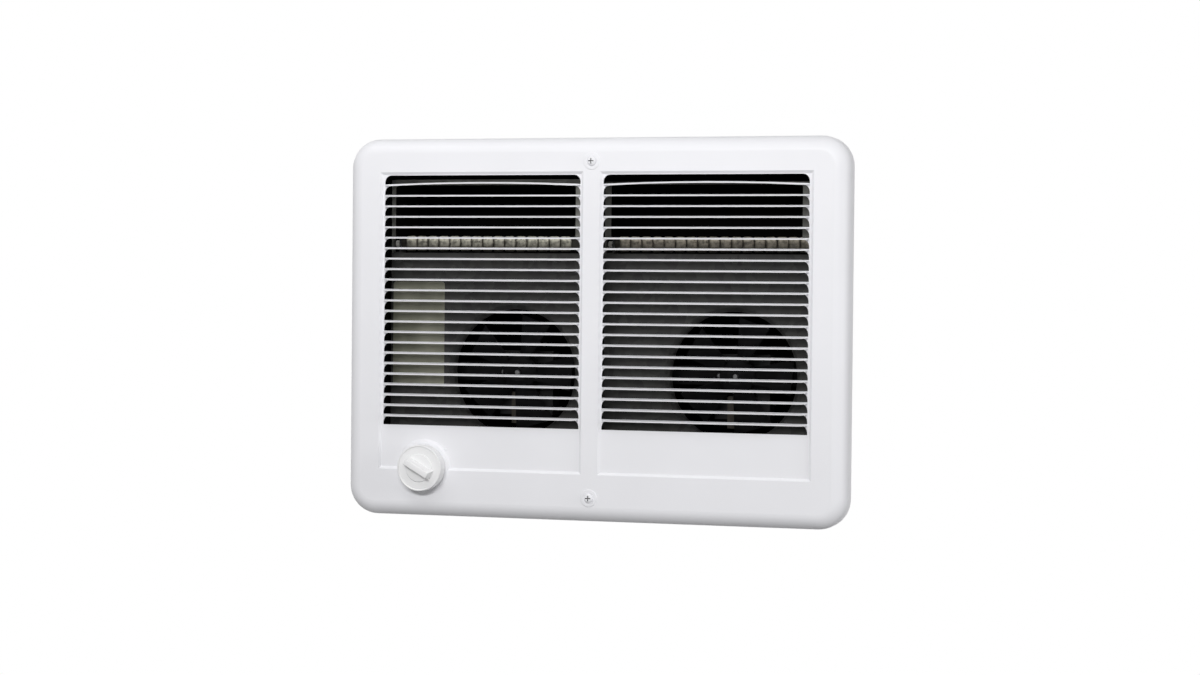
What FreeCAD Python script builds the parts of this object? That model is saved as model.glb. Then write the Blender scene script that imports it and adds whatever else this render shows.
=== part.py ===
import FreeCAD, Part
import math
import os
import re

import Sketcher
from FreeCAD import Placement, Rotation, Vector

# Recessed twin-fan electric wall heater.
# +Z is up and the front faces -Y.  The origin is the centre of the cover on the wall's surface,
# so everything with y below 0 stands in the room and everything above it sits in the wall.

# A size that starts with = follows from the sizes above it.
DIMENSIONS = [
    ("cover_width", 488.5, "front cover, overall width"),
    ("cover_height", 361, "front cover, overall height"),
    ("cover_depth", 25, "front cover, from the wall to its flat front"),
    ("cover_corner", 28, "front cover, corner radius seen from the front"),
    ("cover_roll", 14, "front cover, radius of the rolled edge"),
    ("cover_metal", 1.0, "front cover, sheet thickness"),
    ("recess_depth", 2.0, "louvred panel, depth below the flat front"),
    ("recess_slope", 2.5, "louvred panel, width of its sloping step"),
    ("recess_inner", 8, "louvred panel, inner edge from the centre line"),
    ("recess_border", 32.75, "cover's border beside the panels"),
    ("recess_head", 32.3, "cover's border above the panels"),
    ("recess_sill", 44.5, "cover's border below the panels"),
    ("recess_outer", "=cover_width / 2 - recess_border", "louvred panel, outer edge from the centre line"),
    ("recess_top", "=cover_height / 2 - recess_head", "louvred panel, upper edge"),
    ("recess_foot", "=recess_sill - cover_height / 2", "louvred panel, lower edge"),
    ("louvre_rib", 3.2, "slots, inner ends from the panel's edge"),
    ("louvre_lip", 4.2, "slots, outer ends from the panel's edge"),
    ("louvre_brow", 3.0, "slots, top of the first one from the panel's edge"),
    ("louvre_narrow", 8.7, "first slot, height"),
    ("louvre_apron", 42.5, "slots, foot of the last one from the panel's edge"),
    ("louvre_count", 23, "bars in a panel"),
    ("louvre_inner", "=recess_inner + louvre_rib", "slots, inner end from the centre line"),
    ("louvre_outer", "=recess_outer - louvre_lip", "slots, outer end from the centre line"),
    ("louvre_head", "=recess_top - louvre_brow", "slots, top of the first one"),
    ("louvre_first", "=louvre_head - louvre_narrow", "top edge of the first bar"),
    ("louvre_foot", "=recess_foot + louvre_apron", "slots, foot of the last one"),
    ("louvre_pitch", "=( louvre_first - louvre_foot ) / louvre_count", "slots, pitch"),
    ("louvre_bar", 1.3, "bars, height"),
    ("louvre_corner", 6.3, "slots, radius of their upper corners"),
    ("louvre_kerf", 0.5, "slit round a flap before it is turned"),
    ("louvre_turn", 95, "angle that a flap is turned out of the sheet"),
    ("louvre_bow", 2.2, "upward bow of the first bar"),
    ("boss_radius", 24.5, "raised seat behind the knob"),
    ("index_reach", 27.1, "index dot, distance from the knob's axis"),
    ("index_angle", 39, "index dot, angle above the horizontal"),
    ("index_radius", 1.8, "index dot, radius"),
    ("index_rise", 0.9, "index dot, height"),
    ("cover_lap", 25.25, "cover's overlap past the can at each side"),
    ("cover_rim", 14.5, "cover's overlap past the can above and below"),
    ("can_width", "=cover_width - 2 * cover_lap", "wall can, outer width"),
    ("can_height", "=cover_height - 2 * cover_rim", "wall can, outer height"),
    ("can_depth", 101.6, "wall can, depth in the wall"),
    ("can_metal", 1.0, "wall can, sheet thickness"),
    ("screw_inset", 8.1, "cover screws, distance from the can's outside"),
    ("screw_height", "=can_height / 2 - screw_inset", "cover screws, distance above and below the centre"),
    ("screw_shank", 2.1, "cover screw, shank radius"),
    ("screw_head", 4.8, "cover screw, head radius"),
    ("screw_head_height", 2.8, "cover screw, head height"),
    ("screw_clearance", 0.3, "clearance round a screw's shank"),
    ("screw_reach", 8, "cover screw, length past the wall's surface"),
    ("tab_width", 24, "cover tab of the can, width"),
    ("tab_length", 16, "cover tab of the can, length"),
    ("clip_width", 14, "spring clip on a cover tab, width"),
    ("clip_metal", 0.8, "spring clip, thickness"),
    ("stud_depth", 30, "stud holes, depth behind the wall's surface"),
    ("stud_spacing", 220, "stud holes, vertical spacing"),
    ("stud_hole", 2.6, "stud holes, radius"),
    ("cable_hole", 11.1, "cable entry, radius"),
    ("cable_across", -60, "cable entry, sideways place in the can's floor"),
    ("cable_depth", 72, "cable entry, depth behind the wall's surface"),
    ("deck_gap", 3.5, "gap between the two fan decks"),
    ("deck_clearance", 3.25, "gap between a fan deck and the can's side"),
    ("deck_width", "=can_width / 2 - can_metal - deck_gap / 2 - deck_clearance", "fan deck, width"),
    ("module_pitch", "=deck_width + deck_gap", "spacing of the two heater modules"),
    ("deck_face", 15, "fan deck, depth of its front behind the wall's surface"),
    ("deck_metal", 1.0, "fan deck, sheet thickness"),
    ("deck_drop", 94, "fan deck, top edge below the can's top"),
    ("deck_top", "=can_height / 2 - deck_drop", "fan deck, top edge"),
    ("deck_side", 40, "fan deck, depth of its folded sides"),
    ("deck_foot", 26, "fan deck, depth of its folded foot"),
    ("deck_shelf", 19, "fan deck, depth of its folded top"),
    ("deck_screw_across", 70, "deck screws, distance from the module's centre"),
    ("fan_across", 19, "fan axis, sideways from the module's centre"),
    ("fan_lift", 4, "fan axis, height above the deck's middle"),
    ("fan_height", "=( deck_top - can_height / 2 ) / 2 + fan_lift", "fan axis, height"),
    ("opening_radius", 65, "fan opening, radius at the deck's face"),
    ("throat_radius", 61, "fan opening, radius of its drawn throat"),
    ("throat_depth", 12, "fan opening, depth of its drawn throat"),
    ("fan_hub", 17, "fan, hub radius"),
    ("fan_front", 31, "fan, depth of the hub's front"),
    ("fan_length", 13, "fan, hub length"),
    ("fan_blades", 5, "fan, number of blades"),
    ("fan_tip", 53, "fan, distance of a blade's flat tip from the axis"),
    ("fan_middle", 36, "fan, depth of the blades' middle"),
    ("fan_metal", 1.2, "fan, blade thickness"),
    ("root_chord", 21, "fan blade, width at the hub"),
    ("root_angle", 50, "fan blade, angle at the hub"),
    ("tip_chord", 38, "fan blade, width at the tip"),
    ("tip_angle", 25, "fan blade, angle at the tip"),
    ("axle_radius", 2.5, "motor shaft, radius"),
    ("axle_front", 28, "motor shaft, depth of its front end"),
    ("axle_back", 89, "motor shaft, depth of its rear end"),
    ("press_gap", 0.02, "gap of a piece pressed on a shaft"),
    ("running_gap", 0.05, "radial gap of a shaft in its bearing"),
    ("air_gap", 0.4, "motor, radial gap between rotor and stator"),
    ("rotor_radius", 12, "motor, rotor radius"),
    ("stack_front", 58, "motor, depth of the stack's front"),
    ("stack_length", 20, "motor, length of the stack"),
    ("stack_width", 54, "motor, width of the stack"),
    ("stack_rise", 20, "motor, stack above the shaft"),
    ("stack_drop", 42, "motor, stack below the shaft"),
    ("window_width", 28, "motor, coil window width"),
    ("window_top", 16, "motor, coil window's top below the shaft"),
    ("window_foot", 28, "motor, coil window's foot below the shaft"),
    ("coil_width", 25, "motor coil, width"),
    ("coil_wall", 8, "motor coil, thickness of the winding"),
    ("coil_gap", 0.3, "motor coil, gap round the stack's leg"),
    ("strap_front", 48, "motor strap, depth of its middle"),
    ("strap_metal", 1.5, "motor strap and bearing brackets, thickness"),
    ("strap_width", 18, "motor strap, width"),
    ("strap_inside", 71, "motor strap, inner half-span"),
    ("strap_foot", 12, "motor strap, length of a foot"),
    ("bracket_width", 16, "bearing brackets, width"),
    ("bush_radius", 5, "bearing bush, outer radius"),
    ("bush_length", 10, "bearing bush, length"),
    ("bush_nose", 3, "bearing bush, length in front of its bracket"),
    ("motor_screw_across", 20, "motor screws, distance from the shaft"),
    ("motor_screw_shank", 1.5, "motor screw, radius"),
    ("motor_screw_head", 3, "motor screw, head radius"),
    ("motor_screw_rise", 2, "motor screw and nut, head height"),
    ("element_depth", 25, "element, depth of its axis"),
    ("element_rise", 9, "element, height of its axis above the deck"),
    ("element_height", "=deck_top + element_rise", "element, height of its axis"),
    ("element_inset", 9.5, "element, first rib from the deck's left edge"),
    ("element_outset", 14.5, "element, last rib from the deck's right edge"),
    ("element_start", "=element_inset - deck_width / 2", "element, first rib from the module's centre"),
    ("element_end", "=deck_width / 2 - element_outset", "element, last rib from the module's centre"),
    ("element_tube", 4, "element, tube radius"),
    ("element_tail", 4, "element, bare tube past the ribs"),
    ("rib_radius", 6.5, "element, rib radius"),
    ("rib_length", 9.2, "element, length of a rib"),
    ("rib_shoulder", 1.6, "element, length of a rib's sloping shoulder"),
    ("rib_count", 18, "element, number of ribs"),
    ("terminal_radius", 3.2, "element terminal, ceramic radius"),
    ("terminal_length", 4, "element terminal, ceramic length"),
    ("stud_radius", 1.3, "element terminal, stud radius"),
    ("stud_length", 3.5, "element terminal, stud length"),
    ("saddle_metal", 1.0, "element bracket, thickness"),
    ("saddle_width", 15, "element bracket, width"),
    ("saddle_foot", 9, "element bracket, length of its foot"),
    ("saddle_gap", 0.2, "element bracket, gap round the tube"),
    ("limit_inset", 24.5, "limit switch, distance from the deck's left edge"),
    ("limit_drop", 24, "limit switch, distance below the deck's top"),
    ("limit_across", "=limit_inset - deck_width / 2", "limit switch, sideways from the module's centre"),
    ("limit_height", "=deck_top - limit_drop", "limit switch, height"),
    ("limit_radius", 8.5, "limit switch, cup radius"),
    ("limit_length", 10, "limit switch, body length"),
    ("limit_step", 1, "limit switch, step between its cup and its base"),
    ("blade_width", 6.3, "limit switch blades, width"),
    ("blade_length", 8, "limit switch blades, length"),
    ("blade_metal", 0.8, "limit switch blades, thickness"),
    ("knob_inset", 46.5, "knob axis, distance from the panel's outer edge"),
    ("knob_rise", 2.4, "knob axis, height above the panel's lower edge"),
    ("knob_across", "=knob_inset - recess_outer", "knob axis, sideways"),
    ("knob_height", "=recess_foot + knob_rise", "knob axis, height"),
    ("knob_radius", 22, "knob, radius of its skirt"),
    ("knob_gap", 0.8, "knob, gap in front of the cover"),
    ("knob_depth", 12.5, "knob, height of its skirt"),
    ("knob_wall", 1.6, "knob, wall thickness"),
    ("knob_crown", 15, "knob, radius of the raised disc"),
    ("knob_crown_rise", 1.0, "knob, rise of the disc"),
    ("knob_post", 5.5, "knob, radius of the post on the shaft"),
    ("grip_length", 34, "knob grip, length at its root"),
    ("grip_width", 11, "knob grip, width at its root"),
    ("grip_rise", 8, "knob grip, height"),
    ("grip_draft", 1.5, "knob grip, how far its sides lean in"),
    ("grip_angle", 30, "knob grip, angle below the horizontal at rest"),
    ("spindle_radius", 3, "thermostat shaft, radius"),
    ("spindle_clearance", 2, "thermostat shaft, clearance in the cover's hole"),
    ("spindle_sink", 6, "thermostat shaft, length inside the thermostat"),
    ("thermostat_width", 36, "thermostat, width and height"),
    ("thermostat_depth", 22, "thermostat, depth"),
    ("thermostat_neck", 6, "thermostat, length of its neck"),
    ("neck_radius", 4.8, "thermostat, neck radius"),
    ("ear_length", 12, "thermostat, length of a mounting ear"),
    ("ear_metal", 1.2, "thermostat, thickness of a mounting ear"),
    ("small_shank", 1.7, "sheet screw, shank radius"),
    ("small_head", 3.6, "sheet screw, head radius"),
    ("small_head_height", 2.2, "sheet screw, head height"),
    ("small_length", 9, "sheet screw, shank length"),
    ("ground_across", 0, "ground screw, sideways"),
    ("ground_rise", 36, "ground screw, height above the can's underside"),
    ("ground_height", "=ground_rise - can_height / 2", "ground screw, height"),
]

doc = FreeCAD.newDocument("wall_heater")
dims = doc.addObject("Spreadsheet::Sheet", "dims")
for row, (alias, number, meaning) in enumerate(DIMENSIONS, start=1):
    dims.set(f"A{row}", meaning)
    dims.set(f"B{row}", str(number))
    dims.setAlias(f"B{row}", alias)
doc.recompute()

# Shapes given as shares of a size
SCREW_CROWN = 0.55
SCREW_SHOULDER = 0.9
SCREW_SHOULDER_HEIGHT = 0.6
SCREW_TIP = 0.4
CROSS_WIDTH = 0.22
CROSS_LENGTH = 1.1
CROSS_DEPTH = 0.55
BOW_STEPS = (0.2, 0.35, 0.5, 0.65, 0.8)
CORNER_STEPS = (0, 0.25, 0.5, 0.75, 1)

# Places that two pieces share
DECK_SCREW_DEPTH = "deck_face + deck_foot / 2"
EAR_SCREW = "( thermostat_width + ear_length ) / 2"
SPINDLE_TIP = "- cover_depth - knob_gap - knob_depth + knob_wall / 2"

subparts = []
ALIASES = {alias for alias, number, meaning in DIMENSIONS}


def bind(formula):
    """Spell a formula of dimension names as a sheet expression."""
    return re.sub(r"[a-z_]+", lambda word: f"dims.{word[0]}" if word[0] in ALIASES else word[0], formula)


def size(formula):
    """The value of a formula of dimension names."""
    return float(dims.evalExpression(bind(formula)))


# Helpers for sketched bodies

def new_body(name, x="0", y="0", z="0"):
    body = doc.addObject("PartDesign::Body", name)
    body.Label = name
    for letter, formula in zip("xyz", (x, y, z)):
        body.setExpression(f"Placement.Base.{letter}", bind(formula))
    subparts.append(body)
    return body


def origin_part(body, role):
    return next(item for item in body.Origin.OriginFeatures if item.Role == role)


def new_sketch(body, plane, shift=("0", "0", "0")):
    """A sketch on one of the body's own origin planes, moved by shift in the plane's own axes."""
    sketch = body.newObject("Sketcher::SketchObject", f"{body.Name}_sketch")
    sketch.AttachmentSupport = [(origin_part(body, f"{plane}_Plane"), "")]
    sketch.MapMode = "FlatFace"
    for letter, formula in zip("xyz", shift):
        sketch.setExpression(f"AttachmentOffset.Base.{letter}", bind(formula))
    return sketch


def facing(depth):
    """The shift that puts an upright sketch at a depth behind the wall's surface."""
    return ("0", "0", f"-1 * ( {depth} )")


def pin(sketch, curve, spot, x, y):
    """Fix one point of a sketch by two formulas."""
    for kind, axis, formula in (("DistanceX", -2, x), ("DistanceY", -1, y)):
        if formula == "0":
            sketch.addConstraint(Sketcher.Constraint("PointOnObject", curve, spot, axis))
        else:
            index = sketch.addConstraint(Sketcher.Constraint(kind, -1, 1, curve, spot, size(formula)))
            sketch.setExpression(f"Constraints[{index}]", bind(formula))


def outline(sketch, corners):
    """A closed outline through corners, each a pair of formulas."""
    spots = [Vector(size(x), size(y), 0) for x, y in corners]
    first = sketch.GeometryCount
    count = len(corners)
    for index in range(count):
        sketch.addGeometry(Part.LineSegment(spots[index], spots[(index + 1) % count]), False)
    for index in range(count):
        following = first + (index + 1) % count
        sketch.addConstraint(Sketcher.Constraint("Coincident", first + index, 2, following, 1))
        pin(sketch, first + index, 1, *corners[index])
    return sketch


def rectangle(sketch, left, right, low, high):
    return outline(sketch, [(left, low), (right, low), (right, high), (left, high)])


def circle(sketch, x, y, radius):
    shape = Part.Circle(Vector(size(x), size(y), 0), Vector(0, 0, 1), size(radius))
    curve = sketch.addGeometry(shape, False)
    pin(sketch, curve, 3, x, y)
    index = sketch.addConstraint(Sketcher.Constraint("Radius", curve, size(radius)))
    sketch.setExpression(f"Constraints[{index}]", bind(radius))
    return sketch


def pad(body, sketch, length, both_ways=False):
    feature = body.newObject("PartDesign::Pad", f"{body.Name}_pad")
    feature.Profile = sketch
    feature.setExpression("Length", bind(length))
    feature.Midplane = both_ways
    doc.recompute()
    return feature


def pocket(body, sketch, length, both_ways=False):
    before = body.Shape.Volume
    feature = body.newObject("PartDesign::Pocket", f"{body.Name}_pocket")
    feature.Profile = sketch
    feature.setExpression("Length", bind(length))
    feature.Midplane = both_ways
    doc.recompute()
    if body.Shape.Volume >= before:
        raise RuntimeError(f"a pocket of {body.Label} cuts nothing")
    return feature


def revolve(body, corners, axis="V_Axis", shift=("0", "0", "0")):
    """Turn an outline about the sketch's upright axis, or its level one."""
    sketch = outline(new_sketch(body, "XY", shift), corners)
    feature = body.newObject("PartDesign::Revolution", f"{body.Name}_turn")
    feature.Profile = sketch
    feature.ReferenceAxis = (sketch, [axis])
    feature.Angle = 360
    doc.recompute()
    return feature


def loft(body, sketches):
    feature = body.newObject("PartDesign::AdditiveLoft", f"{body.Name}_loft")
    feature.Profile = sketches[0]
    feature.Sections = sketches[1:]
    feature.Ruled = True
    doc.recompute()
    return feature


def keep_shape(name, shape):
    """A sub-part whose form is worked out with shape functions."""
    feature = doc.addObject("Part::Feature", name)
    feature.Label = name
    feature.Shape = shape
    subparts.append(feature)
    return feature


# Screws

def turned(profile):
    """A solid turned about Y from pairs of radius and depth that start and end on the axis."""
    corners = [Vector(radius, depth, 0) for radius, depth in profile]
    face = Part.Face(Part.makePolygon(corners + corners[:1]))
    return face.revolve(Vector(0, 0, 0), Vector(0, 1, 0), 360)


def pan_screw(head, head_height, shank, length):
    """A pan-head screw: the head's underside is at y 0 and the shank runs along +Y."""
    crown = SCREW_CROWN * head
    shoulder = (SCREW_SHOULDER * head, -SCREW_SHOULDER_HEIGHT * head_height)
    tip = SCREW_TIP * shank
    profile = [(0, -head_height), (crown, -head_height), shoulder, (head, 0),
               (shank, 0), (shank, length - shank), (tip, length), (0, length)]
    body = turned(profile)
    slot = CROSS_WIDTH * head
    arm = CROSS_LENGTH * head
    depth = CROSS_DEPTH * head_height
    bars = []
    for wide, high in ((arm, slot), (slot, arm)):
        corner = Vector(-wide / 2, -head_height, -high / 2)
        bars.append(Part.makeBox(wide, depth, high, corner))
    return body.cut(bars[0].fuse(bars[1]))


def sheet_screw():
    return pan_screw(size("small_head"), size("small_head_height"), size("small_shank"),
                     size("small_length"))


def placed(shape, spot, rotation=None):
    copy = shape.copy()
    copy.Placement = Placement(spot, rotation or Rotation())
    return copy


# Front cover

def rounded_block(width, height, depth, corner, roll):
    """A block in front of the wall with rounded corners and a rolled front edge."""
    block = Part.makeBox(width, depth, height, Vector(-width / 2, -depth, -height / 2))
    upright = [edge for edge in block.Edges if edge.BoundBox.YLength > depth / 2]
    block = block.makeFillet(corner, upright)
    front = [edge for edge in block.Edges if edge.BoundBox.YMax < -depth + Part.Precision.confusion()]
    return block.makeFillet(roll, front)


def upright_rectangle(left, right, low, high, depth):
    corners = [Vector(left, depth, low), Vector(right, depth, low),
               Vector(right, depth, high), Vector(left, depth, high)]
    return Part.makePolygon(corners + corners[:1])


def recess_form(side, front):
    """The sloping-sided panel recess on one side (-1 or 1), cut from the depth called front."""
    slope = size("recess_slope")
    edges = sorted((side * size("recess_inner"), side * size("recess_outer")))
    low = size("recess_foot")
    high = size("recess_top")
    floor = front + size("recess_depth")
    wide = upright_rectangle(edges[0], edges[1], low, high, front)
    narrow = upright_rectangle(edges[0] + slope, edges[1] - slope, low + slope, high - slope, floor)
    form = Part.makeLoft([wide, narrow], True, True)
    if side > 0:
        return form
    knob = Vector(size("knob_across"), front, size("knob_height"))
    radius = size("boss_radius")
    boss = Part.makeCone(radius, radius + slope, size("recess_depth"), knob, Vector(0, 1, 0))
    return form.cut(boss)


def flat_face(corners):
    return Part.Face(Part.makePolygon(corners + corners[:1]))


def faceted_bar(sections):
    """A solid through cross-sections of four corners each, with twisted sides folded along a diagonal."""
    faces = [flat_face(sections[0]), flat_face(sections[-1][::-1])]
    for near, far in zip(sections, sections[1:]):
        for index in range(4):
            following = (index + 1) % 4
            side = [near[index], far[index], far[following], near[following]]
            edges = [corner - side[0] for corner in side[1:]]
            if abs(edges[0].cross(edges[1]).dot(edges[2])) < Part.Precision.confusion():
                faces.append(flat_face(side))
            else:
                faces.append(flat_face(side[:3]))
                faces.append(flat_face([side[0], side[2], side[3]]))
    return Part.makeSolid(Part.makeShell(faces))


def round_corner(outer, high, radius):
    """Points of a rounded upper right corner, from its side to its top."""
    turns = [math.radians(90 * step) for step in CORNER_STEPS]
    return [(outer - radius + radius * math.cos(turn), high - radius + radius * math.sin(turn))
            for turn in turns]


def mirrored_corner(corner, inner, outer):
    return [(inner + outer - across, up) for across, up in reversed(corner)]


def bowed_edge(inner, outer, level, bow):
    """Points of an edge that bows upwards between its two ends, or none where it is straight."""
    if not bow:
        return []
    return [(inner + (outer - inner) * step, level + 4 * bow * step * (1 - step)) for step in BOW_STEPS]


def slot_form(inner, outer, low, high, bows, floor, metal):
    """A slot with rounded upper corners, as a form to cut; bows are its lower and its upper edge's."""
    right = round_corner(outer, high, size("louvre_corner"))
    edge = [(inner, low)] + bowed_edge(inner, outer, low, bows[0]) + [(outer, low)]
    edge += right + bowed_edge(inner, outer, high, bows[1])[::-1]
    edge += mirrored_corner(right, inner, outer)
    corners = [Vector(across, floor - metal, up) for across, up in edge]
    return flat_face(corners).extrude(Vector(0, 3 * metal, 0))


def louvre_flap(inner, outer, top, reach, bow, floor, metal):
    """A slot's flap, hinged on the bar below it and turned out of the sheet a little past level."""
    turn = math.radians(size("louvre_turn"))
    along = Vector(0, -math.sin(turn), math.cos(turn))
    through = Vector(0, math.cos(turn), math.sin(turn)) * metal
    hinge = Vector(0, floor, top - (size("louvre_bar") + metal) / 2)
    radius = size("louvre_corner")
    root = -metal / 2
    if not bow:
        right = round_corner(outer, reach, radius)
        edge = [(inner, root), (outer, root)] + right + mirrored_corner(right, inner, outer)
        corners = [hinge + Vector(across, 0, 0) + along * out for across, out in edge]
        return flat_face(corners).extrude(through)
    stations = [(inner, 0, reach - radius), (inner + radius, 0, reach)]
    stations += [(across, lift, reach) for across, lift in bowed_edge(inner, outer, 0, bow)]
    stations += [(outer - radius, 0, reach), (outer, 0, reach - radius)]
    sections = []
    for across, lift, out in stations:
        spot = hinge + Vector(across, 0, lift)
        near = spot + along * root
        far = spot + along * out
        sections.append([near, near + through, far + through, far])
    return faceted_bar(sections)


def louvre_panel(side, floor, metal):
    """The flaps of one panel, and the slots that they were turned out of."""
    inner, outer = sorted((side * size("louvre_inner"), side * size("louvre_outer")))
    kerf = size("louvre_kerf")
    bar = size("louvre_bar")
    bow = size("louvre_bow")
    pitch = size("louvre_pitch")
    tops = [size("louvre_first") - pitch * index for index in range(int(size("louvre_count")))]
    flaps = []
    for top in tops:
        bent = bow if top == tops[0] else 0
        flaps.append(louvre_flap(inner + kerf, outer - kerf, top, pitch - bar - kerf, bent, floor, metal))
    slots = [slot_form(inner, outer, tops[0], size("louvre_head"), (bow, 0), floor, metal),
             slot_form(inner, outer, tops[1], tops[0] - bar, (0, bow), floor, metal)]
    for high, low in zip(tops[1:], tops[2:] + [size("louvre_foot")]):
        slots.append(slot_form(inner, outer, low, high - bar, (0, 0), floor, metal))
    return flaps, slots


def front_cover():
    width = size("cover_width")
    height = size("cover_height")
    depth = size("cover_depth")
    metal = size("cover_metal")
    corner = size("cover_corner")
    roll = size("cover_roll")
    outside = rounded_block(width, height, depth, corner, roll)
    inside = rounded_block(width - 2 * metal, height - 2 * metal, depth - metal,
                           corner - metal, roll - metal)
    floor = -depth + size("recess_depth")
    flaps = []
    for side in (-1, 1):
        outside = outside.cut(recess_form(side, -depth))
        inside = inside.cut(recess_form(side, -depth + metal))
    cover = outside.cut(inside)
    for side in (-1, 1):
        panel, slots = louvre_panel(side, floor, metal)
        cover = cover.cut(slots)
        flaps += panel
    hole = size("spindle_radius + spindle_clearance")
    knob = Vector(size("knob_across"), -2 * depth, size("knob_height"))
    cover = cover.cut(Part.makeCylinder(hole, 4 * depth, knob, Vector(0, 1, 0)))
    for sign in (-1, 1):
        spot = Vector(0, -2 * depth, sign * size("screw_height"))
        hole = size("screw_shank + screw_clearance")
        cover = cover.cut(Part.makeCylinder(hole, 4 * depth, spot, Vector(0, 1, 0)))
    turn = math.radians(size("index_angle"))
    reach = size("index_reach")
    spot = Vector(size("knob_across") + reach * math.cos(turn), floor,
                  size("knob_height") + reach * math.sin(turn))
    radius = size("index_radius")
    dot = Part.makeCone(radius, radius / 2, size("index_rise"), spot, Vector(0, -1, 0))
    return keep_shape("front_cover", cover.multiFuse(flaps + [dot]).Solids[0])


def cover_fasteners():
    """The two long cover screws and the spring clips that they bite in."""
    length = size("cover_depth + screw_reach")
    screw = pan_screw(size("screw_head"), size("screw_head_height"), size("screw_shank"), length)
    spots = [Vector(0, -size("cover_depth"), sign * size("screw_height")) for sign in (-1, 1)]
    keep_shape("cover_screws", Part.makeCompound([placed(screw, spot) for spot in spots]))

    metal = size("clip_metal")
    sheet = size("can_metal")
    edge = size("can_height / 2 - tab_length")
    far = size("screw_height + screw_head")
    profile = [(-metal, far), (0, far), (0, edge), (sheet, edge), (sheet, far), (sheet + metal, far),
               (sheet + metal, edge - metal), (-metal, edge - metal)]
    corners = [Vector(0, depth, height) for depth, height in profile]
    fold = Part.Face(Part.makePolygon(corners + corners[:1]))
    width = size("clip_width")
    fold.translate(Vector(-width / 2, 0, 0))
    clip = fold.extrude(Vector(width, 0, 0))
    bore = size("screw_shank + screw_clearance / 2")
    middle = Vector(0, -2 * metal, size("screw_height"))
    clip = clip.cut(Part.makeCylinder(bore, sheet + 4 * metal, middle, Vector(0, 1, 0)))
    upside_down = placed(clip, Vector(0, 0, 0), Rotation(Vector(0, 1, 0), 180))
    keep_shape("cover_clips", Part.makeCompound([clip, upside_down]))


# Wall can

def wall_can():
    """The can's five sheets, welded at their edges: the back, two sides, the top and the floor."""
    half_width = "can_width / 2"
    half_height = "can_height / 2"
    inner_width = f"( {half_width} - can_metal )"
    seat = "can_depth - can_metal"
    back = new_body("can_back")
    plate = rectangle(new_sketch(back, "XZ", facing("can_depth")), f"- {half_width}", half_width,
                      f"- {half_height}", half_height)
    pad(back, plate, "can_metal")
    ground = new_sketch(back, "XZ", facing(seat))
    circle(ground, "ground_across", "ground_height", "small_shank + screw_clearance")
    pocket(back, ground, "2 * can_metal")
    for side, sign in (("left", "-1"), ("right", "1")):
        wall = new_body(f"can_{side}", x=f"{sign} * ( {half_width} - can_metal / 2 )")
        sheet = rectangle(new_sketch(wall, "YZ"), "0", seat, f"- {half_height}", half_height)
        pad(wall, sheet, "can_metal", both_ways=True)
        studs = new_sketch(wall, "YZ")
        for up in ("", "- "):
            circle(studs, "stud_depth", f"{up}stud_spacing / 2", "stud_hole")
        pocket(wall, studs, "2 * can_metal", both_ways=True)
    for end, sign in (("top", "1"), ("floor", "-1")):
        lid = new_body(f"can_{end}", z=f"{sign} * ( {half_height} - can_metal / 2 )")
        sheet = rectangle(new_sketch(lid, "XY"), f"- {inner_width}", inner_width, "0", seat)
        pad(lid, sheet, "can_metal", both_ways=True)
        reach = sorted((f"{sign} * can_metal / 2", f"{sign} * ( can_metal / 2 - tab_length )"), key=size)
        tab = new_sketch(lid, "XZ", facing("can_metal"))
        rectangle(tab, "- tab_width / 2", "tab_width / 2", *reach)
        pad(lid, tab, "can_metal")
        hole = new_sketch(lid, "XZ")
        circle(hole, "0", f"{sign} * ( can_metal / 2 - screw_inset )", "screw_shank + screw_clearance")
        pocket(lid, hole, "2 * can_metal")
    holes = new_sketch(lid, "XY", ("0", "0", "can_metal / 2"))
    circle(holes, "cable_across", "cable_depth", "cable_hole")
    for module in ("- module_pitch / 2", "module_pitch / 2"):
        for side in ("-", "+"):
            circle(holes, f"{module} {side} deck_screw_across", DECK_SCREW_DEPTH,
                   "small_shank + screw_clearance")
    pocket(lid, holes, "2 * can_metal")


def can_fasteners():
    """The ground screw and the screws that hold the fan decks on the can's floor."""
    screw = sheet_screw()
    back = Vector(size("ground_across"), size("can_depth - can_metal"), size("ground_height"))
    keep_shape("ground_screw", placed(screw, back))
    downward = Rotation(Vector(1, 0, 0), -90)
    depth = size(DECK_SCREW_DEPTH)
    height = size("can_metal + deck_metal - can_height / 2")
    screws = []
    for module in (-1, 1):
        for side in (-1, 1):
            across = module * size("module_pitch / 2") + side * size("deck_screw_across")
            screws.append(placed(screw, Vector(across, depth, height), downward))
    keep_shape("deck_screws", Part.makeCompound(screws))


# Heater modules

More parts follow.
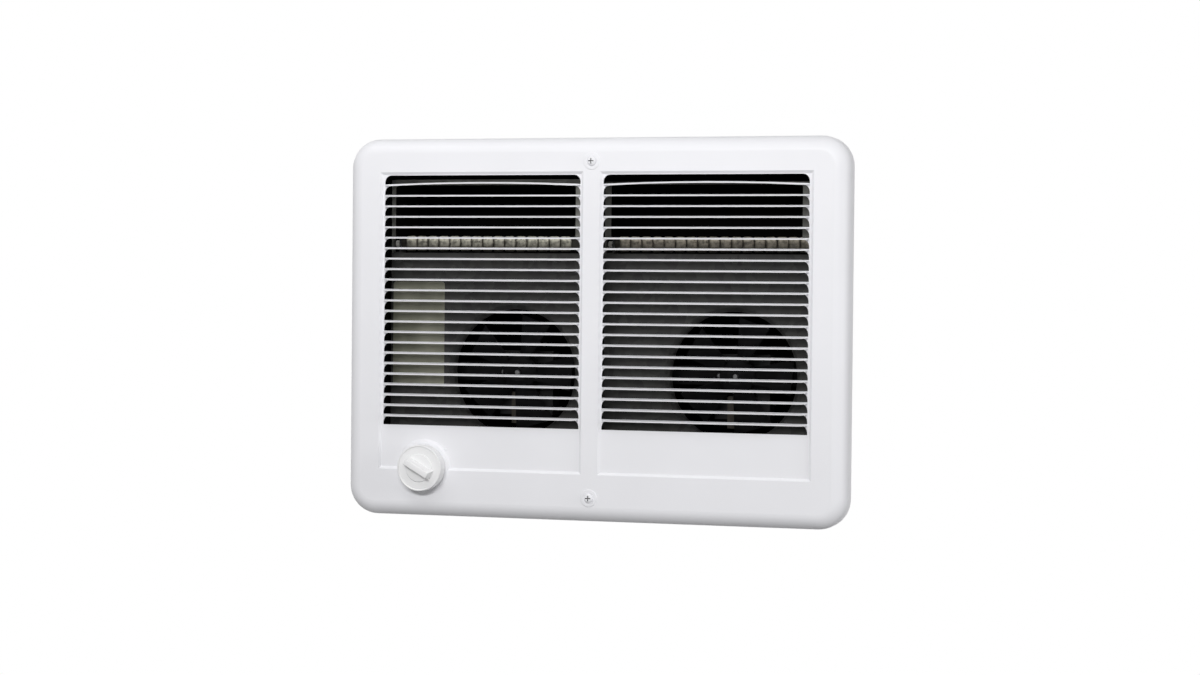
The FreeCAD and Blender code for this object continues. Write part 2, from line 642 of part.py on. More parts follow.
def fan_deck(side, module):
    body = new_body(f"fan_deck_{side}", x=module)
    half = "deck_width / 2"
    floor = "can_metal - can_height / 2"
    back = "deck_face + deck_metal"
    plate = rectangle(new_sketch(body, "XZ", facing(back)), f"- {half}", half, floor, "deck_top")
    pad(body, plate, "deck_metal")
    sides = new_sketch(body, "XZ", facing("deck_face + deck_side"))
    rectangle(sides, f"- {half}", f"deck_metal - {half}", floor, "deck_top")
    rectangle(sides, f"{half} - deck_metal", half, floor, "deck_top")
    pad(body, sides, "deck_side")
    foot = rectangle(new_sketch(body, "XZ", facing("deck_face + deck_foot")), f"- {half}", half,
                     floor, f"{floor} + deck_metal")
    pad(body, foot, "deck_foot")
    shelf = rectangle(new_sketch(body, "XZ", facing("deck_face + deck_shelf")), f"- {half}", half,
                      "deck_top - deck_metal", "deck_top")
    pad(body, shelf, "deck_shelf")
    opening = new_sketch(body, "XZ", facing("deck_face"))
    circle(opening, "fan_across", "fan_height", "opening_radius")
    pocket(body, opening, "2 * deck_metal")
    shoulder = "deck_face + throat_depth / 3"
    end = "deck_face + throat_depth"
    throat = [("opening_radius", "deck_face"), ("throat_radius + deck_metal / 2", shoulder),
              ("throat_radius", end), ("throat_radius + deck_metal", end),
              ("throat_radius + 3 * deck_metal / 2", f"{shoulder} + deck_metal / 2"),
              ("opening_radius + deck_metal", back), ("opening_radius + deck_metal", "deck_face")]
    revolve(body, throat, shift=("fan_across", "0", "fan_height"))
    holes = new_sketch(body, "XY", ("0", "0", f"{floor} + deck_metal"))
    for sign in ("", "- "):
        circle(holes, f"{sign}deck_screw_across", DECK_SCREW_DEPTH, "small_shank + screw_clearance")
    pocket(body, holes, "2 * deck_metal")
    if side == "left":
        ears = new_sketch(body, "XZ", facing("deck_face"))
        for sign in ("-", "+"):
            circle(ears, f"knob_across - ( {module} ) {sign} {EAR_SCREW}", "knob_height",
                   "small_shank + screw_clearance")
        pocket(body, ears, "2 * deck_metal")


def element(side, module):
    """A ribbed heating tube with its end brackets and terminals, lying along X."""
    body = new_body(f"element_{side}", module, "element_depth", "element_height")
    start = "element_start - element_tail"
    finish = "element_end + element_tail"
    revolve(body, [(start, "0"), (finish, "0"), (finish, "element_tube"), (start, "element_tube")], "H_Axis")
    inside = "element_tube / 2"
    rib_end = "element_start + rib_length"
    rib = revolve(body, [("element_start", inside), (rib_end, inside), (rib_end, "element_tube"),
                         (f"{rib_end} - rib_shoulder", "rib_radius"),
                         ("element_start + rib_shoulder", "rib_radius"), ("element_start", "element_tube")],
                  "H_Axis")
    row = body.newObject("PartDesign::LinearPattern", f"element_{side}_ribs")
    row.Originals = [rib]
    row.Direction = (origin_part(body, "X_Axis"), [""])
    row.setExpression("Length", bind("element_end - element_start - rib_length"))
    row.setExpression("Occurrences", bind("rib_count"))
    body.Tip = row
    doc.recompute()

    height = size("element_height - deck_top")
    metal = size("saddle_metal")
    width = size("saddle_width")
    reach = size("saddle_foot")
    bore = size("element_tube + saddle_gap")
    brackets = []
    terminals = []
    outer = size("terminal_radius")
    ceramic = size("terminal_length")
    stud = size("stud_radius")
    tail = ceramic + size("stud_length")
    axle = Vector(size(module), size("element_depth"), size("element_height"))
    for sign, end in ((-1, "element_start - element_tail / 2"), (1, "element_end + element_tail / 2")):
        upright = Part.makeBox(metal, width, height + bore + 2 * metal, Vector(0, -width / 2, -height))
        foot = Part.makeBox(reach, width, metal, Vector(0, -width / 2, -height))
        hole = Part.makeCylinder(bore, 2 * reach, Vector(-reach, 0, 0), Vector(1, 0, 0))
        turn = Rotation(Vector(0, 0, 1), 0 if sign > 0 else 180)
        spot = axle + Vector(size(end) - sign * metal / 2, 0, 0)
        brackets.append(placed(upright.fuse(foot).cut(hole), spot, turn))
        tip = axle + Vector(size(end) + sign * size("element_tail / 2"), 0, 0)
        way = Vector(sign, 0, 0)
        bead = Part.makeCylinder(outer, ceramic, tip, way)
        terminals.append(bead.fuse(Part.makeCylinder(stud, tail, tip, way)))
    keep_shape(f"element_brackets_{side}", Part.makeCompound(brackets))
    keep_shape(f"element_terminals_{side}", Part.makeCompound(terminals))


def limit_switch(side, module):
    body = new_body(f"limit_switch_{side}", f"{module} + limit_across", "deck_face + deck_metal",
                    "limit_height")
    cup = "limit_length / 3"
    revolve(body, [("0", "0"), ("limit_radius", "0"), ("limit_radius", cup),
                   ("limit_radius - limit_step", cup), ("limit_radius - limit_step", "limit_length"),
                   ("0", "limit_length")])
    blades = new_sketch(body, "XZ", facing("limit_length + blade_length"))
    for sign in ("-", ""):
        middle = f"{sign} limit_radius / 2"
        rectangle(blades, f"{middle} - blade_metal / 2", f"{middle} + blade_metal / 2",
                  "- blade_width / 2", "blade_width / 2")
    pad(body, blades, "blade_length + limit_length / 2")


# Fans and motors, each about its own shaft

def motor_strap(side, axis):
    """A folded strip across the back of the fan opening that carries the motor on the deck."""
    body = new_body(f"motor_strap_{side}", *axis)
    seat = "deck_face + deck_metal"
    inside = "strap_inside"
    outside = "strap_inside + strap_metal"
    tail = "strap_inside + strap_metal + strap_foot"
    corners = [(inside, "strap_front"), (inside, seat), (tail, seat), (tail, f"{seat} + strap_metal"),
               (outside, f"{seat} + strap_metal"), (outside, "strap_front + strap_metal")]
    mirrored = [(f"-1 * ( {x} )", y) for x, y in reversed(corners)]
    pad(body, outline(new_sketch(body, "XY"), corners + mirrored), "strap_width", both_ways=True)
    nose = circle(new_sketch(body, "XZ", facing("strap_front")), "0", "0", "bush_radius + screw_clearance")
    pocket(body, nose, "2 * strap_metal")
    motor_screw_holes(body, "strap_front", "2 * strap_metal")


def motor_screw_holes(body, start, length):
    sketch = new_sketch(body, "XZ", facing(start))
    for sign in ("", "- "):
        circle(sketch, f"{sign}motor_screw_across", "0", "motor_screw_shank + screw_clearance")
    pocket(body, sketch, length)


def motor(side, x, z):
    axis = (x, "0", z)
    motor_strap(side, axis)

    stator = new_body(f"motor_stator_{side}", *axis)
    stack = new_sketch(stator, "XZ", facing("stack_front + stack_length"))
    rectangle(stack, "- stack_width / 2", "stack_width / 2", "- stack_drop", "stack_rise")
    circle(stack, "0", "0", "rotor_radius + air_gap")
    rectangle(stack, "- window_width / 2", "window_width / 2", "- window_foot", "- window_top")
    pad(stator, stack, "stack_length")
    motor_screw_holes(stator, "stack_front", "2 * stack_length")

    coil = new_body(f"motor_coil_{side}", *axis)
    ring = new_sketch(coil, "YZ")
    front = "stack_front - coil_gap"
    back = "stack_front + stack_length + coil_gap"
    low = "- stack_drop - coil_gap"
    high = "coil_gap - window_foot"
    rectangle(ring, front, back, low, high)
    rectangle(ring, f"{front} - coil_wall", f"{back} + coil_wall", f"{low} - coil_wall",
              f"{high} + coil_wall")
    pad(coil, ring, "coil_width", both_ways=True)

    rear = "stack_front + stack_length + bush_length - bush_nose"
    bearing_bracket(new_body(f"front_bearing_{side}", *axis), "strap_front + strap_metal", "stack_front")
    bearing_bracket(new_body(f"rear_bearing_{side}", *axis), rear, "stack_front + stack_length")
    motor_screws(side, axis)


def bearing_bracket(body, depth, reach):
    """A folded bracket on the face of the stack with a bearing bush through its middle."""
    half = "stack_width / 2"
    inner = f"{half} - strap_metal"
    level = f"{depth} + strap_metal"
    forward = size(depth) < size(reach)
    outer_face = depth if forward else level
    inner_face = level if forward else depth
    corners = [(half, outer_face), (half, reach), (inner, reach), (inner, inner_face)]
    mirrored = [(f"-1 * ( {x} )", y) for x, y in reversed(corners)]
    pad(body, outline(new_sketch(body, "XY"), corners + mirrored), "bracket_width", both_ways=True)
    start = f"{depth} - bush_nose" if forward else f"{level} - bush_length + bush_nose"
    bush = circle(new_sketch(body, "XZ", facing(f"{start} + bush_length")), "0", "0", "bush_radius")
    pad(body, bush, "bush_length")
    bore = circle(new_sketch(body, "XZ", facing(start)), "0", "0", "axle_radius + running_gap")
    pocket(body, bore, "2 * bush_length")
    motor_screw_holes(body, depth, "2 * strap_metal")


def motor_screws(side, axis):
    """Two through screws with nuts that clamp the strap, the brackets and the stack."""
    head = size("motor_screw_head")
    rise = size("motor_screw_rise")
    shank = size("motor_screw_shank")
    front = size("strap_front")
    rear = size("stack_front + stack_length + bush_length - bush_nose + strap_metal")
    screw = pan_screw(head, rise, shank, rear - front + 2 * rise)
    corners = [Vector(head * math.cos(turn), 0, head * math.sin(turn))
               for turn in (math.radians(60 * step) for step in range(6))]
    nut = Part.Face(Part.makePolygon(corners + corners[:1])).extrude(Vector(0, rise, 0))
    nut.translate(Vector(0, rear - front, 0))
    bolt = screw.fuse(nut)
    spots = []
    for sign in (-1, 1):
        across = size(axis[0]) + sign * size("motor_screw_across")
        spots.append(Vector(across, front, size(axis[2])))
    keep_shape(f"motor_screws_{side}", Part.makeCompound([placed(bolt, spot) for spot in spots]))


def blade_sketch(body, distance, chord, angle):
    """A blade's section on a plane at one distance from the shaft, as a slanted thin strip."""
    sketch = new_sketch(body, "YZ", ("0", "0", distance))
    lean = (f"{chord} / 2 * sin( {angle} * 1 deg )", f"{chord} / 2 * cos( {angle} * 1 deg )")
    thick = (f"fan_metal / 2 * cos( {angle} * 1 deg )", f"fan_metal / 2 * sin( {angle} * 1 deg )")
    corners = []
    for along, across in ((1, 1), (1, -1), (-1, -1), (-1, 1)):
        depth = f"fan_middle + {along} * {lean[0]} + {across} * {thick[0]}"
        height = f"{along} * {lean[1]} - {across} * {thick[1]}"
        corners.append((depth, height))
    return outline(sketch, corners)


def fan(side, x, z):
    body = new_body(f"fan_{side}", x, "0", z)
    front = "fan_front"
    back = "fan_front + fan_length"
    bore = "axle_radius + press_gap"
    wall = "2 * fan_metal"
    revolve(body, [(bore, front), ("fan_hub / 2", front), ("fan_hub", f"{front} + fan_length / 3"),
                   ("fan_hub", back), (f"fan_hub - {wall}", back),
                   (f"fan_hub - {wall}", f"{front} + fan_length / 2"),
                   (f"{bore} + {wall}", f"{front} + fan_length / 2"), (f"{bore} + {wall}", back),
                   (bore, back)])
    root = blade_sketch(body, "fan_hub - fan_metal", "root_chord", "root_angle")
    tip = blade_sketch(body, "fan_tip", "tip_chord", "tip_angle")
    blade = loft(body, [root, tip])
    ring = body.newObject("PartDesign::PolarPattern", f"fan_{side}_blades")
    ring.Originals = [blade]
    ring.Axis = (origin_part(body, "Y_Axis"), [""])
    ring.Angle = 360
    ring.setExpression("Occurrences", bind("fan_blades"))
    body.Tip = ring
    doc.recompute()

    axle = new_body(f"motor_shaft_{side}", x, "0", z)
    chamfer = "axle_radius / 5"
    revolve(axle, [("0", "axle_front"), (f"axle_radius - {chamfer}", "axle_front"),
                   ("axle_radius", f"axle_front + {chamfer}"), ("axle_radius", "axle_back"),
                   ("0", "axle_back")])
    rotor = new_body(f"motor_rotor_{side}", x, "0", z)
    end = "stack_front + stack_length"
    revolve(rotor, [(bore, "stack_front"), ("rotor_radius", "stack_front"), ("rotor_radius", end),
                    (bore, end)])


# Thermostat and knob

def thermostat():
    body = new_body("thermostat_body", "knob_across", "0", "knob_height")
    half = "thermostat_width / 2"
    wide = f"{half} + ear_length"
    face = "deck_face - thermostat_depth"
    block = rectangle(new_sketch(body, "XZ", facing("deck_face")), f"- {half}", half, f"- {half}", half)
    pad(body, block, "thermostat_depth")
    ears = rectangle(new_sketch(body, "XZ", facing("deck_face")), f"- ( {wide} )", wide,
                     f"- {half} / 2", f"{half} / 2")
    pad(body, ears, "ear_metal")
    neck = circle(new_sketch(body, "XZ", facing(face)), "0", "0", "neck_radius")
    pad(body, neck, "thermostat_neck")
    bore = circle(new_sketch(body, "XZ", facing(f"{face} - thermostat_neck")), "0", "0",
                  "spindle_radius + running_gap")
    pocket(body, bore, "thermostat_neck + spindle_sink + press_gap")
    holes = new_sketch(body, "XZ", facing("deck_face - 2 * ear_metal"))
    for sign in ("", "- "):
        circle(holes, f"{sign}{EAR_SCREW}", "0", "small_shank + screw_clearance")
    pocket(body, holes, "4 * ear_metal")

    screw = sheet_screw()
    screws = []
    for sign in (-1, 1):
        across = size("knob_across") + sign * size(EAR_SCREW)
        screws.append(placed(screw, Vector(across, size("deck_face - ear_metal"), size("knob_height"))))
    keep_shape("thermostat_screws", Part.makeCompound(screws))


def knob():
    body = new_body("knob", "knob_across", "0", "knob_height")
    body.setExpression("Placement.Rotation.Angle", bind("grip_angle"))
    body.setExpression("Placement.Rotation.Axis.x", "0")
    body.setExpression("Placement.Rotation.Axis.y", "1")
    body.setExpression("Placement.Rotation.Axis.z", "0")
    back = "- cover_depth - knob_gap"
    face = f"{back} - knob_depth"
    crown = f"{face} - knob_crown_rise"
    ceiling = f"{face} + knob_wall"
    edge = "knob_crown_rise"
    bore = "spindle_radius + press_gap"
    revolve(body, [("0", crown), (f"knob_crown - {edge}", crown), ("knob_crown", face),
                   (f"knob_radius - 2 * {edge}", face), (f"knob_radius - {edge}", f"{face} + {edge}"),
                   ("knob_radius", back), ("knob_radius - knob_wall", back),
                   (f"knob_radius - {edge} - knob_wall", ceiling), ("knob_post", ceiling),
                   ("knob_post", back), (bore, back), (bore, SPINDLE_TIP), ("0", SPINDLE_TIP)])
    sections = []
    for depth, lean in ((f"{face}", "0"), (f"{crown} - grip_rise", "grip_draft")):
        long_half = f"grip_length / 2 - {lean}"
        wide_half = f"grip_width / 2 - {lean}"
        sketch = rectangle(new_sketch(body, "XZ", facing(depth)), f"- ( {long_half} )", long_half,
                           f"- ( {wide_half} )", wide_half)
        sections.append(sketch)
    loft(body, sections)

    spindle = new_body("thermostat_shaft", "knob_across", "0", "knob_height")
    root = "deck_face - thermostat_depth + spindle_sink"
    tip = f"{SPINDLE_TIP} + press_gap"
    revolve(spindle, [("0", tip), ("spindle_radius", tip), ("spindle_radius", root), ("0", root)])


front_cover()
wall_can()
cover_fasteners()
can_fasteners()
for side, module in (("left", "- module_pitch / 2"), ("right", "module_pitch / 2")):
    fan_deck(side, module)
    element(side, module)
    limit_switch(side, module)
    shaft_x = f"{module} + fan_across"
    motor(side, shaft_x, "fan_height")
    fan(side, shaft_x, "fan_height")
thermostat()
knob()
doc.recompute()

for item in doc.Objects:
    if "Invalid" in item.State or "Error" in item.State:
        raise RuntimeError(f"{item.Label} failed: {item.State}")
for item in subparts:
    if item.Shape.isNull() or not item.Shape.isValid() or item.Shape.Volume <= 0:
        raise RuntimeError(f"{item.Label} has no valid shape")

os.makedirs("parts", exist_ok=True)
for item in subparts:
    item.Shape.exportStep(f"parts/{item.Label}.step")
    print(f"{item.Label}: {len(item.Shape.Solids)} solid(s), {item.Shape.Volume:.0f} mm3")
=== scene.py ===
# %% [markdown]
# This lesson dresses a recessed electric wall heater.  Its shapes come from a CAD model, which is
# loaded first as a fixed frame in metres: +Z is up, the front faces -Y, and the origin is the
# centre of the cover on the wall.  Nothing of that frame is moved.  Each step then adds a piece
# or a finish.

# %% Load the frame
import math

import bpy
from mathutils import Matrix, Vector


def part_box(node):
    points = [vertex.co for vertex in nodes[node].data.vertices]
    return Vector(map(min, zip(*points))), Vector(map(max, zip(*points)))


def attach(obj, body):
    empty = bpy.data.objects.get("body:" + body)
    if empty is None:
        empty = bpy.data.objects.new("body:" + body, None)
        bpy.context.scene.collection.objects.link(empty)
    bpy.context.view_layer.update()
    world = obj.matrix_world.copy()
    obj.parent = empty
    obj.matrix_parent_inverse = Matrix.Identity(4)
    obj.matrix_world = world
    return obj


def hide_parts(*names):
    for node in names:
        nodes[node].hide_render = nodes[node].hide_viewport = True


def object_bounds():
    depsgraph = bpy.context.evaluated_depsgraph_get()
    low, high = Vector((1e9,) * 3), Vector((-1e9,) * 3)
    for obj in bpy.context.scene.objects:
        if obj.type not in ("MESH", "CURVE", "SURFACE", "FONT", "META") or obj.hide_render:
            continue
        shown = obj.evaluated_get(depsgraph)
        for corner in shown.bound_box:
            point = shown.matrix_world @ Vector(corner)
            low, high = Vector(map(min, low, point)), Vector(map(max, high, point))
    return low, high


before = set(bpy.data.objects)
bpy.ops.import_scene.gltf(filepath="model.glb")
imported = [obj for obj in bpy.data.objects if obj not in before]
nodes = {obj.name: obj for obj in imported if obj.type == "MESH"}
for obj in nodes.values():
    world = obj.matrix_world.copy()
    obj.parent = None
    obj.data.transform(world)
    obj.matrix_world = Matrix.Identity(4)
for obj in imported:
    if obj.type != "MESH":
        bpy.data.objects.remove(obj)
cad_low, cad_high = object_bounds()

scene = bpy.context.scene
scene.view_settings.view_transform = "Standard"
print(f"{len(nodes)} CAD nodes, box {[round(v, 4) for v in cad_low]} to {[round(v, 4) for v in cad_high]}")

# %% [markdown]
# The camera stands where the photo was taken from: a little to the right of the heater and level
# with its middle.  Its place could be found by dragging, but here the turn, tilt and roll are
# written as angles, so that each can be changed alone.

# %% Camera
CAMERA_PLACE = Vector((0.66276, -2.22536, 0.03597))
CAMERA_TURN = math.radians(16.529)
CAMERA_TILT = math.radians(1.074)
CAMERA_ROLL = math.radians(0.538)
CAMERA_LENS = 73.69
SENSOR_WIDTH = 36


def look_matrix(turn, tilt, roll):
    """Axes of a camera that looks along +Y, turned to the left, tilted down and rolled."""
    ahead = Vector((-math.sin(turn) * math.cos(tilt), math.cos(turn) * math.cos(tilt), -math.sin(tilt)))
    level = Vector((math.cos(turn), math.sin(turn), 0))
    upright = level.cross(ahead)
    right = level * math.cos(roll) + upright * math.sin(roll)
    up = right.cross(ahead)
    return Matrix((right, up, -ahead)).transposed()


camera_data = bpy.data.cameras.new("heater_camera")
camera_data.sensor_width = SENSOR_WIDTH
camera_data.lens = CAMERA_LENS
camera = bpy.data.objects.new("heater_camera", camera_data)
scene.collection.objects.link(camera)
camera.matrix_world = Matrix.Translation(CAMERA_PLACE) @ look_matrix(
    CAMERA_TURN, CAMERA_TILT, CAMERA_ROLL).to_4x4()
scene.camera = camera
print(f"camera {CAMERA_PLACE.length:.2f} m from the heater with a {CAMERA_LENS} mm lens")

# %% [markdown]
# The stage is a plain pale floor well below the heater, which hangs on a wall that isn't shown.
# A white background could come from strong lamps, but then the white cover would burn out.  So
# the world and the floor are white only to the rays that see them directly, in gloss or through
# glass, and the lamps stay at a plain level.

# %% Floor and background
FLOOR_DROP = 0.6
FLOOR_SIZE = 4.0
FLOOR_COLOUR = (0.4, 0.4, 0.4, 1)
WHITE = (1, 1, 1, 1)
WHITE_SHARE = 0.9
AMBIENT = 0.2


def calculate(tree, operation, first, second=None):
    """The result of a sum on one or two values, each a plain number or the output of a node."""
    step = tree.nodes.new("ShaderNodeMath")
    step.operation = operation
    for socket, value in zip(step.inputs, (first, second)):
        if isinstance(value, bpy.types.NodeSocket):
            tree.links.new(value, socket)
        elif value is not None:
            socket.default_value = value
    return step.outputs[0]


def seen_directly(tree):
    """A value that is 1 for camera, glossy and transmission rays."""
    path = tree.nodes.new("ShaderNodeLightPath")
    clear = calculate(tree, "MAXIMUM", path.outputs["Is Camera Ray"], path.outputs["Is Glossy Ray"])
    return calculate(tree, "MAXIMUM", clear, path.outputs["Is Transmission Ray"])


def show(tree, output, hidden, direct, share):
    """Mix two shaders, with the share that the direct one has, and send the result to the output."""
    blend = tree.nodes.new("ShaderNodeMixShader")
    surface = tree.nodes.new(output)
    tree.links.new(share, blend.inputs[0])
    tree.links.new(hidden.outputs[0], blend.inputs[1])
    tree.links.new(direct.outputs[0], blend.inputs[2])
    tree.links.new(blend.outputs[0], surface.inputs[0])


world = bpy.data.worlds.new("studio")
scene.world = world
world.use_nodes = True
sky = world.node_tree
sky.nodes.clear()
backdrop = sky.nodes.new("ShaderNodeBackground")
backdrop.inputs["Color"].default_value = WHITE
ambient = sky.nodes.new("ShaderNodeBackground")
ambient.inputs["Color"].default_value = WHITE
ambient.inputs["Strength"].default_value = AMBIENT
show(sky, "ShaderNodeOutputWorld", ambient, backdrop, seen_directly(sky))

bpy.ops.object.select_all(action="DESELECT")
bpy.ops.mesh.primitive_plane_add(size=FLOOR_SIZE, location=(0, 0, cad_low[2] - FLOOR_DROP))
floor = bpy.context.active_object
floor.name = "floor"
paper = bpy.data.materials.new("pale_floor")
paper.use_nodes = True
paper_tree = paper.node_tree
paper_tree.nodes.clear()
matt = paper_tree.nodes.new("ShaderNodeBsdfDiffuse")
matt.inputs["Color"].default_value = FLOOR_COLOUR
glow = paper_tree.nodes.new("ShaderNodeEmission")
glow.inputs["Color"].default_value = WHITE
whiteness = calculate(paper_tree, "MULTIPLY", seen_directly(paper_tree), WHITE_SHARE)
show(paper_tree, "ShaderNodeOutputMaterial", matt, glow, whiteness)
floor.data.materials.append(paper)
print(f"floor {FLOOR_DROP} m below the heater")

# %% [markdown]
# Three lamps make the soft studio light.  The strongest is a wide, low strip about as far from the
# cover as the camera and well above it, so that each louvre shades the sheet behind its slot in the
# same way.  A nearer one overhead makes the upper roll the brightest place, and one at the right
# lifts the side that is turned towards it.

# %% Lamps
LAMPS = {
    "front_softbox": {"place": (0.05, -2.2, 0.75), "size": (1.2, 0.28), "watts": 29},
    "top_softbox": {"place": (-0.25, -0.6, 0.75), "size": (1.0, 0.4), "watts": 2.8},
    "side_softbox": {"place": (1.3, -0.35, 0.1), "size": (0.4, 0.6), "watts": 4.5},
}
for name, lamp in LAMPS.items():
    light = bpy.data.lights.new(name, "AREA")
    light.shape = "RECTANGLE"
    light.size, light.size_y = lamp["size"]
    light.energy = lamp["watts"]
    holder = bpy.data.objects.new(name, light)
    scene.collection.objects.link(holder)
    holder.location = lamp["place"]
    holder.rotation_euler = (-Vector(lamp["place"])).to_track_quat("-Z", "Y").to_euler()
    print(f"{name}: {lamp['watts']} W")

# %% [markdown]
# Every finish starts from the same shader and gets its detail from small patterns on the piece's
# own coordinates.  Image textures would be quicker to paint, but a pattern made of nodes has no
# seams, needs no unwrapping and keeps its real scale on each piece.

# %% Finish helpers

def shader_of(finish):
    return finish.node_tree.nodes["Principled BSDF"]


def new_finish(name, colour, roughness, metallic=0.0, sheen=0.5):
    """A finish whose sheen is the strength of its clear highlights, 0.5 being that of plain paint."""
    finish = bpy.data.materials.new(name)
    finish.use_nodes = True
    shader = shader_of(finish)
    shader.inputs["Base Color"].default_value = (*colour, 1)
    shader.inputs["Roughness"].default_value = roughness
    shader.inputs["Metallic"].default_value = metallic
    shader.inputs["Specular IOR Level"].default_value = sheen
    return finish


def own_place(finish):
    """Each point's place in the piece's own coordinates."""
    return finish.node_tree.nodes.new("ShaderNodeTexCoord").outputs["Object"]


def moved(finish, place, shift=(0, 0, 0), stretch=(1, 1, 1)):
    """A place that is stretched along the axes and then shifted."""
    mapping = finish.node_tree.nodes.new("ShaderNodeMapping")
    mapping.inputs["Location"].default_value = shift
    mapping.inputs["Scale"].default_value = stretch
    finish.node_tree.links.new(place, mapping.inputs["Vector"])
    return mapping.outputs["Vector"]


def length_of(finish, vector):
    measure = finish.node_tree.nodes.new("ShaderNodeVectorMath")
    measure.operation = "LENGTH"
    finish.node_tree.links.new(vector, measure.inputs[0])
    return measure.outputs["Value"]


def part_of(finish, vector, axis):
    split = finish.node_tree.nodes.new("ShaderNodeSeparateXYZ")
    finish.node_tree.links.new(vector, split.inputs[0])
    return split.outputs[axis]


def remapped(finish, value, low=0.0, high=1.0, least=0.0, most=1.0):
    """A value that goes from least to most as the given one goes from low to high."""
    remap = finish.node_tree.nodes.new("ShaderNodeMapRange")
    limits = {"From Min": low, "From Max": high, "To Min": least, "To Max": most}
    for socket, limit in limits.items():
        remap.inputs[socket].default_value = limit
    finish.node_tree.links.new(value, remap.inputs["Value"])
    return remap.outputs["Result"]


def noise(finish, scale, detail=2.0, stretch=(1, 1, 1)):
    """A cloudy pattern."""
    pattern = finish.node_tree.nodes.new("ShaderNodeTexNoise")
    pattern.inputs["Scale"].default_value = scale
    pattern.inputs["Detail"].default_value = detail
    place = moved(finish, own_place(finish), stretch=stretch)
    finish.node_tree.links.new(place, pattern.inputs["Vector"])
    return pattern.outputs["Fac"]


def flakes(finish, scale):
    """Patches of one grey each, as in a spangled zinc coat."""
    tree = finish.node_tree
    pattern = tree.nodes.new("ShaderNodeTexVoronoi")
    pattern.inputs["Scale"].default_value = scale
    tree.links.new(own_place(finish), pattern.inputs["Vector"])
    grey = tree.nodes.new("ShaderNodeRGBToBW")
    tree.links.new(pattern.outputs["Color"], grey.inputs[0])
    return grey.outputs[0]


def bands(finish, scale, direction, distortion=0.0):
    """Waves that follow each other along one axis."""
    pattern = finish.node_tree.nodes.new("ShaderNodeTexWave")
    pattern.bands_direction = direction
    pattern.inputs["Scale"].default_value = scale
    pattern.inputs["Distortion"].default_value = distortion
    finish.node_tree.links.new(own_place(finish), pattern.inputs["Vector"])
    return pattern.outputs["Fac"]


def tint(finish, pattern, dark, light, low=0.3, high=0.7):
    """Let the colour go from dark to light as the pattern goes from low to high."""
    tree = finish.node_tree
    ramp = tree.nodes.new("ShaderNodeValToRGB")
    for stop, position, colour in zip(ramp.color_ramp.elements, (low, high), (dark, light)):
        stop.position = position
        stop.color = (*colour, 1)
    tree.links.new(pattern, ramp.inputs["Fac"])
    tree.links.new(ramp.outputs["Color"], shader_of(finish).inputs["Base Color"])


def vary_gloss(finish, pattern, low, high):
    """Let the roughness follow a pattern."""
    roughness = remapped(finish, pattern, least=low, most=high)
    finish.node_tree.links.new(roughness, shader_of(finish).inputs["Roughness"])


def relief(finish, pattern, height, strength):
    """Let the surface seem to rise and fall with a pattern."""
    tree = finish.node_tree
    bump = tree.nodes.new("ShaderNodeBump")
    bump.inputs["Strength"].default_value = strength
    bump.inputs["Distance"].default_value = height
    tree.links.new(pattern, bump.inputs["Height"])
    tree.links.new(bump.outputs["Normal"], shader_of(finish).inputs["Normal"])


# %% [markdown]
# The cover is sheet steel with a baked white powder coat: satin, very slightly cool, with the fine
# orange-peel skin that powder leaves when it melts.  The skin is a low relief about a millimetre
# wide, so it only shows in the gloss.

# %% White enamel
ENAMEL_LIGHT = (0.86, 0.86, 0.89)
ENAMEL_DARK = (0.84, 0.84, 0.868)


def orange_peel(finish):
    relief(finish, noise(finish, scale=900, detail=1), height=0.00004, strength=0.5)


enamel = new_finish("white_enamel", ENAMEL_LIGHT, roughness=0.38, sheen=0.25)
tint(enamel, noise(enamel, scale=14, detail=3), ENAMEL_DARK, ENAMEL_LIGHT)
vary_gloss(enamel, noise(enamel, scale=40, detail=3), low=0.33, high=0.43)
orange_peel(enamel)
print("white enamel with an orange-peel skin")

# %% [markdown]
# The fan decks and the folded brackets are galvanised sheet, coloured near black as painted shade
# for the dark behind the louvres.  Hot zinc freezes in flat crystals, each with its own grey, and a
# cell pattern gives just that.

# %% Galvanised sheet
CRYSTALS_PER_METRE = 130
FLAKE_LOW = 0.2
FLAKE_HIGH = 0.8
ZINC_ROUGHNESS = 0.55


def galvanised(name, middle, dark, light, metallic=0.0, sheen=0.5):
    """Dull zinc sheet whose crystals lie between a dark and a light colour."""
    finish = new_finish(name, middle, ZINC_ROUGHNESS, metallic, sheen)
    tint(finish, flakes(finish, CRYSTALS_PER_METRE), dark, light, FLAKE_LOW, FLAKE_HIGH)
    vary_gloss(finish, flakes(finish, CRYSTALS_PER_METRE), low=0.5, high=0.62)
    relief(finish, noise(finish, scale=500), height=0.00003, strength=0.4)
    return finish


# These near-black greys are painted shade.
shaded_zinc_sheet = galvanised("galvanised_steel", middle=(0.05, 0.05, 0.048), dark=(0.042, 0.042, 0.0405),
                        light=(0.058, 0.058, 0.0555), sheen=0.1)
print(f"galvanised sheet with crystals {1000 / CRYSTALS_PER_METRE:.1f} mm wide")

# %% [markdown]
# The can is galvanised too, but its inside is coloured near black as painted shade, so that nothing
# shows behind the louvres.  Two materials would need the faces sorted.  One finish that compares
# each point with the middle of the sheet's thickness does it without touching the node.

# %% Can, painted shade inside
CAN_SHEET = 0.001
CAN_CRYSTALS_PER_METRE = 170
CAN_METALLIC = 0.85
CAN_ROUGHNESS = 0.5
INSIDE_SHADE_COLOUR = (0.002, 0.002, 0.002, 1)
INSIDE_SHADE_ROUGHNESS = 1.0
MIX_FIRST = 6
MIX_SECOND = 7
MIX_RESULT = 2
can_high = (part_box("can_right")[1][0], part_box("can_back")[1][1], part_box("can_top")[1][2])


